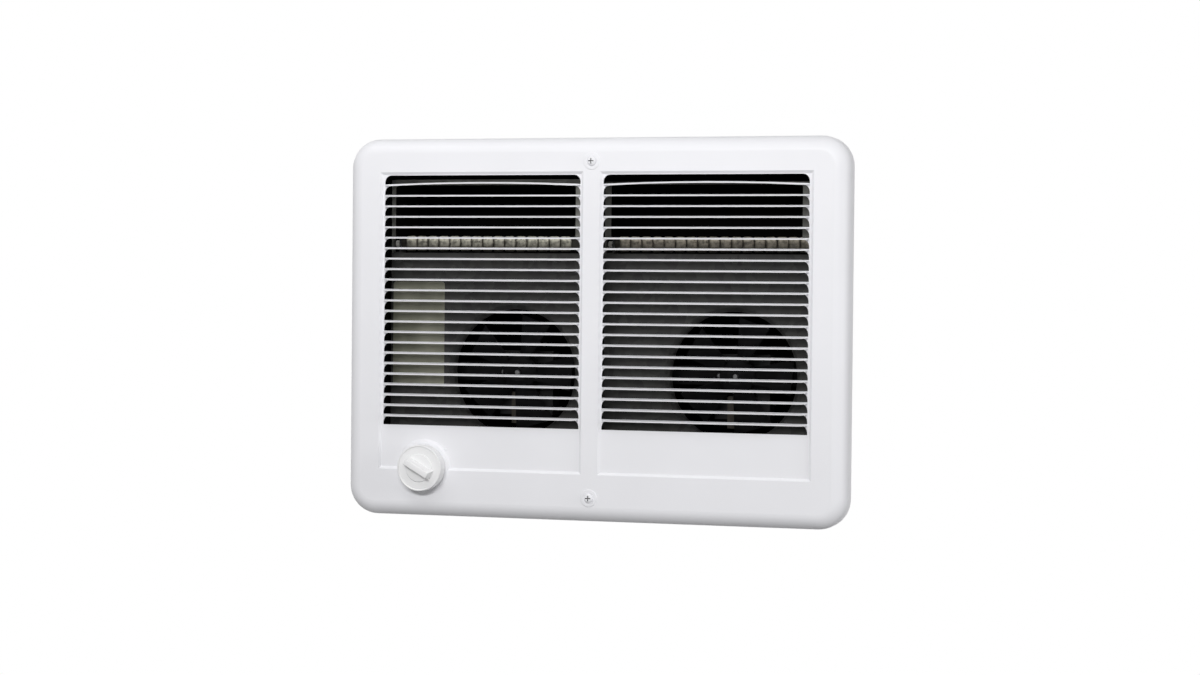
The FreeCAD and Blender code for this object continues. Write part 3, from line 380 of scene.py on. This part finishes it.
def inside_box(finish, limits):
    """A value that is 1 within a box about the origin, given by its half lengths."""
    place = own_place(finish)
    inside = 1
    for axis, limit in zip("XYZ", limits):
        distance = calculate(finish.node_tree, "ABSOLUTE", part_of(finish, place, axis))
        within = calculate(finish.node_tree, "LESS_THAN", distance, limit)
        inside = calculate(finish.node_tree, "MULTIPLY", inside, within)
    return inside


can_sheet = new_finish("can_steel", (0.42, 0.43, 0.44), CAN_ROUGHNESS, sheen=0.08)
tint(can_sheet, flakes(can_sheet, CAN_CRYSTALS_PER_METRE), dark=(0.38, 0.39, 0.4), light=(0.47, 0.48, 0.49),
     low=FLAKE_LOW, high=FLAKE_HIGH)
can_tree = can_sheet.node_tree
can_shader = shader_of(can_sheet)
zinc_colour = can_shader.inputs["Base Color"].links[0].from_socket
# Within this box, the inside faces, the colour is near black: painted shade.
inside_shade = inside_box(can_sheet, [reach - CAN_SHEET / 2 for reach in can_high])
choice = can_tree.nodes.new("ShaderNodeMix")
choice.data_type = "RGBA"
can_tree.links.new(inside_shade, choice.inputs["Factor"])
can_tree.links.new(zinc_colour, choice.inputs[MIX_FIRST])
choice.inputs[MIX_SECOND].default_value = INSIDE_SHADE_COLOUR
can_tree.links.new(choice.outputs[MIX_RESULT], can_shader.inputs["Base Color"])
bare = calculate(can_tree, "SUBTRACT", 1, inside_shade)
can_tree.links.new(calculate(can_tree, "MULTIPLY", bare, CAN_METALLIC), can_shader.inputs["Metallic"])
vary_gloss(can_sheet, inside_shade, CAN_ROUGHNESS, INSIDE_SHADE_ROUGHNESS)
print(f"can sheet, black inside {2 * can_high[0] - CAN_SHEET:.4f} m of width")

# %% [markdown]
# The heating elements are rows of beads that glow red in use, which leaves them dull and warm.
# Their colour also holds painted shade: beige on the lit crowns, nearly black in the seams and on
# the underside, where shade falls.  The distance from the element's axis tells crown from seam and
# the height tells top from underside.  Both are multiplied with a fine noise, and one ramp turns the
# product to colour.  The row on the right is painted darker and browner as painted shade, so each
# side gets a finish of its own.

# %% Heated beads
BOTH = ("left", "right")
# The right row's darker crown colour, the seam colour and the underside share are painted shade.
BEAD_CROWNS_LIT_AND_SHADED = {"left": (0.85, 0.82, 0.67), "right": (0.48, 0.43, 0.34)}
BEAD_SEAM_SHADE = (0.03, 0.027, 0.02)
SEAM_SHADE_RADIUS = 0.0052
CROWN_LIGHT_RADIUS = 0.0071
SHADE_BELOW_AXIS = 0.003
LIGHT_ABOVE_AXIS = 0.0045
UNDERSIDE_SHADE_SHARE = 0.1
MOTTLE_SHARE = 0.3
element_low, element_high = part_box("element_left")
element_depth = (element_low[1] + element_high[1]) / 2
element_height = (element_low[2] + element_high[2]) / 2


def bead_finish(side):
    finish = new_finish(f"element_beads_{side}", BEAD_CROWNS_LIT_AND_SHADED[side], roughness=0.7)
    tree = finish.node_tree
    place = moved(finish, own_place(finish), (0, -element_depth, -element_height), (0, 1, 1))
    crown = remapped(finish, length_of(finish, place), SEAM_SHADE_RADIUS, CROWN_LIGHT_RADIUS)
    upper = remapped(finish, part_of(finish, place, "Z"), -SHADE_BELOW_AXIS, LIGHT_ABOVE_AXIS, UNDERSIDE_SHADE_SHARE)
    mottle = remapped(finish, noise(finish, scale=300, detail=5), low=0.35, high=0.6, least=MOTTLE_SHARE)
    pale = calculate(tree, "MULTIPLY", calculate(tree, "MULTIPLY", crown, upper), mottle)
    tint(finish, pale, BEAD_SEAM_SHADE, BEAD_CROWNS_LIT_AND_SHADED[side], low=0.0, high=0.85)
    vary_gloss(finish, noise(finish, scale=300, detail=3), low=0.6, high=0.85)
    relief(finish, noise(finish, scale=900, detail=3), height=0.0002, strength=0.7)
    return finish


heated = {side: bead_finish(side) for side in BOTH}
print("heated beads, pale crowns and dark seams")

# %% [markdown]
# Screws and clips have a bright zinc plate.  The motors' shafts and screws are steel, coloured dark
# and dull as painted shade.  Both are metals, so their look comes from what they reflect, and fine
# lines along the surface stretch it.

# %% Plated and ground steel
plated = new_finish("zinc_steel", (0.7, 0.7, 0.71), roughness=0.35, metallic=1.0)
tint(plated, noise(plated, scale=220, detail=3), dark=(0.6, 0.61, 0.62), light=(0.76, 0.76, 0.76))
vary_gloss(plated, noise(plated, scale=700), low=0.26, high=0.44)
# This dark base colour is painted shade.
ground = new_finish("bright_steel", (0.14, 0.14, 0.142), roughness=0.35, metallic=1.0)
tint(ground, noise(ground, scale=90, stretch=(1, 8, 1)), dark=(0.12, 0.12, 0.122), light=(0.16, 0.16, 0.162))
relief(ground, bands(ground, scale=700, direction="Y"), height=0.00001, strength=0.4)
print("zinc plate and ground steel")

# %% [markdown]
# The motors' stacks are thin sheets pressed together along the shaft, so fine lines run round them.
# The coil is wound in tape, whose overlapping turns make broader ridges.  Both are coloured near
# black as painted shade.

# %% Motor finishes
SHEET_LINES = 314
# The near-black colours of stack and tape are painted shade.
sheets = new_finish("lamination_steel", (0.03, 0.03, 0.032), roughness=0.7, metallic=0.5)
tint(sheets, bands(sheets, SHEET_LINES, "Y", distortion=0.4), dark=(0.02, 0.02, 0.021),
     light=(0.04, 0.04, 0.042))
relief(sheets, bands(sheets, SHEET_LINES, "Y"), height=0.0001, strength=0.6)
tape = new_finish("coil_tape", (0.03, 0.024, 0.016), roughness=0.65)
tint(tape, noise(tape, scale=120, detail=3), dark=(0.02, 0.015, 0.01), light=(0.04, 0.032, 0.02))
relief(tape, bands(tape, scale=55, direction="X", distortion=0.6), height=0.0003, strength=0.7)
print("stack sheets and coil tape")

# %% [markdown]
# The fans are stamped metal with a dark satin paint and a little dust, made nearly black as painted
# shade; the same finish on the motors' straps and front bearings is painted shade alone.  The switch
# cases are black moulded resin with pale flecks of filler, and the terminals unglazed ceramic.
# The ground screw is green, as its use asks.

# %% Dark paint, resin, ceramic and the ground screw
dark_paint_and_shade = new_finish("dark_fan", (0.006, 0.006, 0.007), roughness=0.7, sheen=0.12)
tint(dark_paint_and_shade, noise(dark_paint_and_shade, scale=70, detail=4), dark=(0.004, 0.004, 0.0045),
     light=(0.009, 0.009, 0.0095), low=0.35, high=0.75)
vary_gloss(dark_paint_and_shade, noise(dark_paint_and_shade, scale=200, detail=3), low=0.65, high=0.85)
resin = new_finish("black_phenolic", (0.045, 0.042, 0.04), roughness=0.45)
tint(resin, noise(resin, scale=900, detail=4), dark=(0.03, 0.028, 0.027), light=(0.1, 0.09, 0.08),
     low=0.5, high=0.85)
vary_gloss(resin, noise(resin, scale=60), low=0.35, high=0.55)
ceramic = new_finish("white_ceramic", (0.82, 0.8, 0.75), roughness=0.7)
tint(ceramic, noise(ceramic, scale=400, detail=4), dark=(0.72, 0.7, 0.64), light=(0.86, 0.84, 0.8))
relief(ceramic, noise(ceramic, scale=1400), height=0.00005, strength=0.6)
green = new_finish("green_screw", (0.1, 0.35, 0.15), roughness=0.4, metallic=0.3)
tint(green, noise(green, scale=300, detail=3), dark=(0.07, 0.26, 0.11), light=(0.13, 0.4, 0.18))
print("dark paint, resin, ceramic and green screw")

# %% [markdown]
# The knob is moulded in white plastic, a touch warmer and softer than the enamel.

# %% White plastic
plastic = new_finish("white_plastic", (0.86, 0.86, 0.865), roughness=0.42)
tint(plastic, noise(plastic, scale=60), dark=(0.845, 0.845, 0.85), light=(0.87, 0.87, 0.875))
vary_gloss(plastic, noise(plastic, scale=250), low=0.36, high=0.46)
relief(plastic, noise(plastic, scale=2200, detail=1), height=0.00002, strength=0.4)
print("white plastic")

# %% [markdown]
# The two cover screws are painted with the cover.  The paint is white all over the head, but in the
# cross the colour darkens with depth, as painted shade in the recess.  So the colour follows the
# depth below the crown, and only within a few millimetres of the screw's axis.

# %% Painted screws
SCREW_PAINT = (0.84, 0.84, 0.868)
SCREW_CROSS_SHADE = (0.16, 0.16, 0.165)
FADE_START = 0.0003
FADE_END = 0.0009
CROSS_REACH = 0.0031
CROSS_BLUR = 0.0003
screw_low, screw_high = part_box("cover_screws")
screw_height = screw_high[2] - (screw_high[0] - screw_low[0]) / 2
painted_screw = new_finish("painted_screw", SCREW_PAINT, roughness=0.4)
screw_tree = painted_screw.node_tree
screw_place = own_place(painted_screw)
both_screws = screw_tree.nodes.new("ShaderNodeVectorMath")
both_screws.operation = "ABSOLUTE"
screw_tree.links.new(screw_place, both_screws.inputs[0])
from_axis = moved(painted_screw, both_screws.outputs["Vector"], (0, 0, -screw_height), (1, 0, 1))
in_cross = remapped(painted_screw, length_of(painted_screw, from_axis),
                    CROSS_REACH, CROSS_REACH - CROSS_BLUR)
below_crown = remapped(painted_screw, part_of(painted_screw, screw_place, "Y"),
                       screw_low[1] + FADE_START, screw_low[1] + FADE_END)
# The dark colour in the cross is painted shade.
cross_shade = calculate(screw_tree, "MULTIPLY", in_cross, below_crown)
tint(painted_screw, cross_shade, SCREW_PAINT, SCREW_CROSS_SHADE, low=0.0, high=1.0)
orange_peel(painted_screw)
print(f"screw paint, worn within {1000 * CROSS_REACH:.1f} mm of the axis")

# %% [markdown]
# Each CAD node now takes the finish of its real material, except the motors' straps and front
# bearings, which take the near-black finish as painted shade.  A node keeps its mesh, and only what
# is in its material slots changes.

# %% Dress the CAD nodes
WEARS = {
    "front_cover": enamel, "can_back": can_sheet, "can_left": can_sheet, "can_right": can_sheet,
    "can_top": can_sheet, "can_floor": can_sheet, "cover_screws": painted_screw, "cover_clips": plated,
    "ground_screw": green, "deck_screws": plated, "thermostat_body": resin,
    "thermostat_screws": plated, "knob": plastic, "thermostat_shaft": ground,
    "element_left": heated["left"], "element_right": heated["right"],
}
# motor_strap and front_bearing wear the near-black finish as painted shade.
PAIRS = {
    "fan_deck": shaded_zinc_sheet, "element_brackets": shaded_zinc_sheet, "element_terminals": ceramic,
    "limit_switch": resin, "motor_strap": dark_paint_and_shade, "motor_stator": sheets, "motor_coil": tape,
    "front_bearing": dark_paint_and_shade, "rear_bearing": shaded_zinc_sheet, "motor_screws": ground,
    "fan": dark_paint_and_shade, "motor_shaft": ground, "motor_rotor": sheets,
}
for stem, finish in PAIRS.items():
    for side in BOTH:
        WEARS[f"{stem}_{side}"] = finish
for name, finish in WEARS.items():
    nodes[name].data.materials.clear()
    nodes[name].data.materials.append(finish)
print(f"{len(WEARS)} of {len(nodes)} nodes dressed")

# %% [markdown]
# The pieces that follow are all made by the same few moves: add a block or a cylinder, pick some of
# its edges or faces by where they are, and round or draw them.  Picking by hand would be quicker
# once, but a test on places and normals still finds the right ones when a size has changed.

# %% Modelling helpers
ALONG_X = (0, math.radians(90), 0)
ALONG_Y = (math.radians(90), 0, 0)
SQUARE_ON = 0.999
MERGE_DISTANCE = 0.00002


def settled(name):
    """The block just added, named, with its place, turn and size put into its mesh."""
    piece = bpy.context.active_object
    piece.name = name
    piece.data.name = name
    bpy.ops.object.transform_apply(location=True, rotation=True, scale=True)
    return piece


def new_block(name, low, high):
    centre = [(a + b) / 2 for a, b in zip(low, high)]
    size = [b - a for a, b in zip(low, high)]
    bpy.ops.object.select_all(action="DESELECT")
    bpy.ops.mesh.primitive_cube_add(size=1, location=centre, scale=size)
    return settled(name)


def new_cylinder(name, sides, radius, depth, centre, turn):
    bpy.ops.object.select_all(action="DESELECT")
    bpy.ops.mesh.primitive_cylinder_add(vertices=sides, radius=radius, depth=depth, location=centre,
                                        rotation=turn)
    return settled(name)


def select_edges(piece, wanted):
    """Select the edges for whose two ends the test holds, and go to edit mode."""
    bpy.ops.object.mode_set(mode="EDIT")
    bpy.ops.mesh.select_mode(type="EDGE")
    bpy.ops.mesh.select_all(action="DESELECT")
    bpy.ops.object.mode_set(mode="OBJECT")
    points = piece.data.vertices
    for edge in piece.data.edges:
        first, second = (points[index].co for index in edge.vertices)
        edge.select = wanted(first, second)
    bpy.ops.object.mode_set(mode="EDIT")


def select_faces(piece, wanted):
    """Select the faces whose normal passes the test, and go to edit mode."""
    bpy.ops.object.mode_set(mode="EDIT")
    bpy.ops.mesh.select_mode(type="FACE")
    bpy.ops.mesh.select_all(action="DESELECT")
    bpy.ops.object.mode_set(mode="OBJECT")
    for face in piece.data.polygons:
        face.select = wanted(face.normal)
    bpy.ops.object.mode_set(mode="EDIT")


def round_edges(offset, segments):
    """Round the selected edges and leave edit mode."""
    bpy.ops.mesh.bevel(offset=offset, segments=segments, affect="EDGES")
    bpy.ops.object.mode_set(mode="OBJECT")


def combine(piece, tool, operation):
    """Join a tool to a piece or cut it away, and throw the tool away."""
    bpy.ops.object.select_all(action="DESELECT")
    piece.select_set(True)
    bpy.context.view_layer.objects.active = piece
    change = piece.modifiers.new(operation, "BOOLEAN")
    change.operation = operation
    change.object = tool
    bpy.ops.object.modifier_apply(modifier=change.name)
    bpy.data.objects.remove(tool)


# %% [markdown]
# A sticker sits on the left fan deck, seen through the louvres.  It is bare: a plain olive-grey
# foil.  It could be painted on the deck, but as a thin sheet of its own, with rounded corners, it
# has a real edge.

# %% Bare sticker
STICKER_LEFT = -0.2125
STICKER_RIGHT = -0.1595
STICKER_LOW = -0.057
STICKER_HIGH = 0.044
STICKER_FOIL = 0.0002
STICKER_CORNER = 0.003
STICKER_STEPS = 4
deck_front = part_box("fan_deck_left")[0][1]
sticker = new_block("bare_sticker", (STICKER_LEFT, deck_front - STICKER_FOIL, STICKER_LOW),
                    (STICKER_RIGHT, deck_front, STICKER_HIGH))
select_edges(sticker, lambda a, b: abs(a.y - b.y) > STICKER_FOIL / 2)
round_edges(STICKER_CORNER, STICKER_STEPS)
foil = new_finish("sticker_foil", (0.17, 0.17, 0.125), roughness=0.5)
tint(foil, noise(foil, scale=35, detail=4), dark=(0.12, 0.12, 0.085), light=(0.22, 0.22, 0.165))
vary_gloss(foil, noise(foil, scale=90), low=0.4, high=0.6)
sticker.data.materials.append(foil)
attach(sticker, "housing")
print(f"sticker {len(sticker.data.polygons)} faces")

# %% [markdown]
# Above each deck a brighter sheet frames the air's way out: two upright legs and a rail behind the
# first slot.  It could be bent from strips, but a plate with a window cut in it has no joints to
# close.  The cutter's corners are rounded first, so the window comes out with punched corners.
# The legs end above the element, and the two wings behind them reach down to the deck.

# %% Outlet frames
# Each frame's grey holds painted shade: the right one is darker than the left.
FRAMES = {
    "left": {"top": 0.1428, "left_leg": 0.0038, "right_leg": 0.0257, "grey": 0.14},
    "right": {"top": 0.1401, "left_leg": 0.006, "right_leg": 0.0217, "grey": 0.065},
}
FRAME_SHEET = 0.001
FRAME_WINDOW = 0.1375
FRAME_LEG_END = 0.0878
FRAME_CORNER = 0.003
FRAME_STEPS = 5
FRAME_RETURN = 0.008
FRAME_WARMTH = 0.9
FRAME_SPREAD = 0.17
FRAME_METALLIC = 0.4


def frame_finish(side):
    zinc = Vector((1, 1, FRAME_WARMTH)) * FRAMES[side]["grey"]
    return galvanised(f"frame_zinc_{side}", zinc, zinc * (1 - FRAME_SPREAD), zinc * (1 + FRAME_SPREAD),
                      FRAME_METALLIC)


def outlet_frame(side):
    low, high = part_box(f"fan_deck_{side}")
    frame_sizes = FRAMES[side]
    front = low[1]
    back = front + FRAME_SHEET
    plate = new_block(f"outlet_frame_{side}", (low[0], front, FRAME_LEG_END),
                      (high[0], back, frame_sizes["top"]))
    window_low = (low[0] + frame_sizes["left_leg"], front - FRAME_SHEET, FRAME_LEG_END - FRAME_CORNER)
    window_high = (high[0] - frame_sizes["right_leg"], back + FRAME_SHEET, FRAME_WINDOW)
    window = new_block("window", window_low, window_high)
    select_edges(window, lambda a, b: abs(a.y - b.y) > FRAME_SHEET and min(a.z, b.z) > FRAME_LEG_END)
    round_edges(FRAME_CORNER, FRAME_STEPS)
    combine(plate, window, "DIFFERENCE")
    for left in (low[0], high[0] - FRAME_SHEET):
        wing = new_block("wing", (left, front, high[2]),
                         (left + FRAME_SHEET, front + FRAME_RETURN, frame_sizes["top"]))
        combine(plate, wing, "UNION")
    bpy.ops.object.mode_set(mode="EDIT")
    bpy.ops.mesh.select_all(action="SELECT")
    bpy.ops.mesh.remove_doubles(threshold=MERGE_DISTANCE)
    bpy.ops.mesh.normals_make_consistent(inside=False)
    bpy.ops.object.mode_set(mode="OBJECT")
    plate.data.materials.append(frame_finish(side))
    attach(plate, "housing")
    return plate


for side in BOTH:
    plate = outlet_frame(side)
    print(f"{plate.name} {len(plate.data.polygons)} faces")

# %% [markdown]
# Each heating element is a row of barrel-shaped beads on a tube, with pinched seams between them.
# A spin of a wavy line would give it too, but a bead is simply a short cylinder with its two rims
# rounded off.  Its ends are opened, an array sets them in a row and joins rim to rim, and the two
# last rims are drawn out to the bare tube.  The seams lean as on the real one.

# %% Element beads
BEADS = {"left": {"count": 15, "bare_end": 0.0227}, "right": {"count": 17, "bare_end": 0.0055}}
BARE_START = 0.0055
BEAD_SIDES = 40
BEAD_RADIUS = 0.0074
BEAD_ROUND = 0.0029
BEAD_STEPS = 5
BEAD_LEAN = 0.45
BEAD_ROUGH = 0.0004
BEAD_SMOOTH = math.radians(60)
SEAM_RADIUS = BEAD_RADIUS - BEAD_ROUND
TUBE_RADIUS = 0.004


def in_seam(point):
    return math.hypot(point.y - element_depth, point.z - element_height) < SEAM_RADIUS + MERGE_DISTANCE


def draw_out(piece, rim, target):
    """Draw an open rim out along the axis to a flat end of the tube, and close it."""
    select_edges(piece, lambda a, b: rim(a) and rim(b))
    bpy.ops.mesh.extrude_region_move()
    tube_end = (target, element_depth, element_height)
    share = TUBE_RADIUS / SEAM_RADIUS
    bpy.ops.transform.resize(value=(0, share, share), center_override=tube_end)
    bpy.ops.mesh.edge_face_add()
    bpy.ops.object.mode_set(mode="OBJECT")


def bead_row(side):
    low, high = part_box(f"element_{side}")
    count = BEADS[side]["count"]
    start = low[0] + BARE_START
    pitch = (high[0] - BEADS[side]["bare_end"] - start) / count
    first_middle = start + pitch / 2
    last_middle = first_middle + (count - 1) * pitch
    row = new_cylinder(f"element_beads_{side}", BEAD_SIDES, BEAD_RADIUS, pitch,
                       (first_middle, element_depth, element_height), ALONG_X)
    select_edges(row, lambda a, b: abs(a.x - b.x) < MERGE_DISTANCE)
    round_edges(BEAD_ROUND, BEAD_STEPS)
    select_faces(row, lambda normal: abs(normal.x) > SQUARE_ON)
    bpy.ops.mesh.delete(type="FACE")
    bpy.ops.object.mode_set(mode="OBJECT")
    repeat = row.modifiers.new("row", "ARRAY")
    repeat.count = count
    repeat.use_relative_offset = False
    repeat.use_constant_offset = True
    repeat.constant_offset_displace = (pitch, 0, 0)
    repeat.use_merge_vertices = True
    repeat.merge_threshold = MERGE_DISTANCE
    bpy.ops.object.modifier_apply(modifier=repeat.name)
    row.data.transform(Matrix(((1, -BEAD_LEAN, 0, BEAD_LEAN * element_depth), (0, 1, 0, 0),
                               (0, 0, 1, 0), (0, 0, 0, 1))))
    draw_out(row, lambda point: in_seam(point) and point.x < first_middle, low[0])
    draw_out(row, lambda point: in_seam(point) and point.x > last_middle, high[0])
    bpy.ops.object.mode_set(mode="EDIT")
    bpy.ops.mesh.select_all(action="SELECT")
    bpy.ops.mesh.normals_make_consistent(inside=False)
    bpy.ops.transform.vertex_random(offset=BEAD_ROUGH, seed=1)
    bpy.ops.object.mode_set(mode="OBJECT")
    bpy.ops.object.shade_smooth_by_angle(angle=BEAD_SMOOTH)
    return row


for side in BOTH:
    row = bead_row(side)
    row.data.materials.append(heated[side])
    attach(row, "housing")
    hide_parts(f"element_{side}")
    print(f"{row.name} {len(row.data.polygons)} faces")

# %% [markdown]
# The knob is a moulded disc with a thin lip, a shallow dish and a low plateau, and across it stands
# a wedge-shaped grip.  A lathe would make the disc in one go.  Here a cylinder's front is inset step
# by step instead, because each inset is one ring of the real mould and can be changed alone.

# %% Knob disc
KNOB_SIDES = 96
KNOB_DISC = 0.0125
KNOB_LIP = 0.0011
KNOB_LIP_FALL = 0.0007
KNOB_DISH = 0.0007
KNOB_PLATEAU = 0.0135
KNOB_STEP = 0.0009
KNOB_RISE = 0.0013
KNOB_EDGE = 0.0007
KNOB_EDGE_STEPS = 3
knob_low, knob_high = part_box("knob")
knob_radius = (knob_high[0] - knob_low[0]) / 2
knob_across = (knob_high[0] + knob_low[0]) / 2
knob_height = (knob_high[2] + knob_low[2]) / 2
knob_face = knob_high[1] - KNOB_DISC


def on_outer_rim(point):
    """Whether a point lies on the front rim of the knob's side wall."""
    reach = math.hypot(point.x - knob_across, point.z - knob_height)
    return point.y < knob_face + KNOB_DISH / 2 and reach > knob_radius - KNOB_LIP / 2


disc = new_cylinder("thermostat_knob", KNOB_SIDES, knob_radius, KNOB_DISC,
                    (knob_across, knob_face + KNOB_DISC / 2, knob_height), ALONG_Y)
select_faces(disc, lambda normal: normal.y < -SQUARE_ON)
bpy.ops.mesh.inset(thickness=KNOB_LIP)
bpy.ops.mesh.inset(thickness=KNOB_LIP_FALL, depth=-KNOB_DISH)
bpy.ops.mesh.inset(thickness=knob_radius - KNOB_LIP - KNOB_LIP_FALL - KNOB_PLATEAU)
bpy.ops.mesh.inset(thickness=KNOB_STEP, depth=KNOB_RISE)
select_edges(disc, lambda a, b: on_outer_rim(a) and on_outer_rim(b))
round_edges(KNOB_EDGE, KNOB_EDGE_STEPS)
print(f"knob disc {len(disc.data.polygons)} faces")

# %% [markdown]
# The grip starts as a block whose front is drawn in on all four sides, so that it tapers to a narrow
# ridge as on the real knob.  Rounding every edge comes after the taper, because a bevel made before
# it would be squeezed.  A union then makes disc and grip one moulding.

# %% Knob grip
GRIP_LENGTH = 0.029
GRIP_WIDTH = 0.0115
GRIP_ROOT = 0.002
GRIP_TAPER = (0.9, 1, 0.5)
GRIP_EDGE = 0.0008
GRIP_EDGE_STEPS = 4
GRIP_TURN = math.radians(30)
KNOB_SMOOTH = math.radians(35)
grip = new_block("grip", (-GRIP_LENGTH / 2, knob_low[1], -GRIP_WIDTH / 2),
                 (GRIP_LENGTH / 2, knob_face + GRIP_ROOT, GRIP_WIDTH / 2))
select_faces(grip, lambda normal: normal.y < -SQUARE_ON)
bpy.ops.transform.resize(value=GRIP_TAPER)
bpy.ops.mesh.select_all(action="SELECT")
round_edges(GRIP_EDGE, GRIP_EDGE_STEPS)
grip.rotation_euler = (0, GRIP_TURN, 0)
grip.location = (knob_across, 0, knob_height)
bpy.ops.object.transform_apply(location=True, rotation=True, scale=True)
combine(disc, grip, "UNION")
bpy.ops.object.shade_smooth_by_angle(angle=KNOB_SMOOTH)
disc.data.materials.append(plastic)
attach(disc, "control_knob")
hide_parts("knob")
print(f"knob with grip {len(disc.data.polygons)} faces")

# %% [markdown]
# Round each cover screw the sheet is pressed into a low ring that takes the head.  It is a thin
# collar here: a flat disc, bored and rounded, made once and copied to the other screw.

# %% Screw collars
COLLAR_RADIUS = 0.0082
COLLAR_BORE = 0.0047
COLLAR_HEIGHT = 0.0006
COLLAR_SIDES = 64
COLLAR_EDGE = 0.00045
COLLAR_EDGE_STEPS = 3
COLLAR_SMOOTH = math.radians(50)
COVER_FRONT = -0.025
collar_middle = COVER_FRONT - COLLAR_HEIGHT / 2
collar_width = COLLAR_RADIUS - COLLAR_BORE
collar = new_cylinder("screw_collar_upper", COLLAR_SIDES, COLLAR_RADIUS, COLLAR_HEIGHT,
                      (0, collar_middle, screw_height), ALONG_Y)
select_faces(collar, lambda normal: abs(normal.y) > SQUARE_ON)
bpy.ops.mesh.inset(thickness=collar_width, use_individual=True)
bpy.ops.mesh.bridge_edge_loops()
select_edges(collar, lambda a, b: max(a.y, b.y) < collar_middle and (a - b).length < collar_width / 2)
round_edges(COLLAR_EDGE, COLLAR_EDGE_STEPS)
bpy.ops.object.shade_smooth_by_angle(angle=COLLAR_SMOOTH)
collar.data.materials.append(enamel)
lower_collar = collar.copy()
lower_collar.data = collar.data.copy()
lower_collar.name = "screw_collar_lower"
lower_collar.data.name = "screw_collar_lower"
lower_collar.data.transform(Matrix.Translation((0, 0, -2 * screw_height)))
scene.collection.objects.link(lower_collar)
for ring in (collar, lower_collar):
    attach(ring, "housing")
print(f"two collars of {len(collar.data.polygons)} faces at height {screw_height:.4f} m")
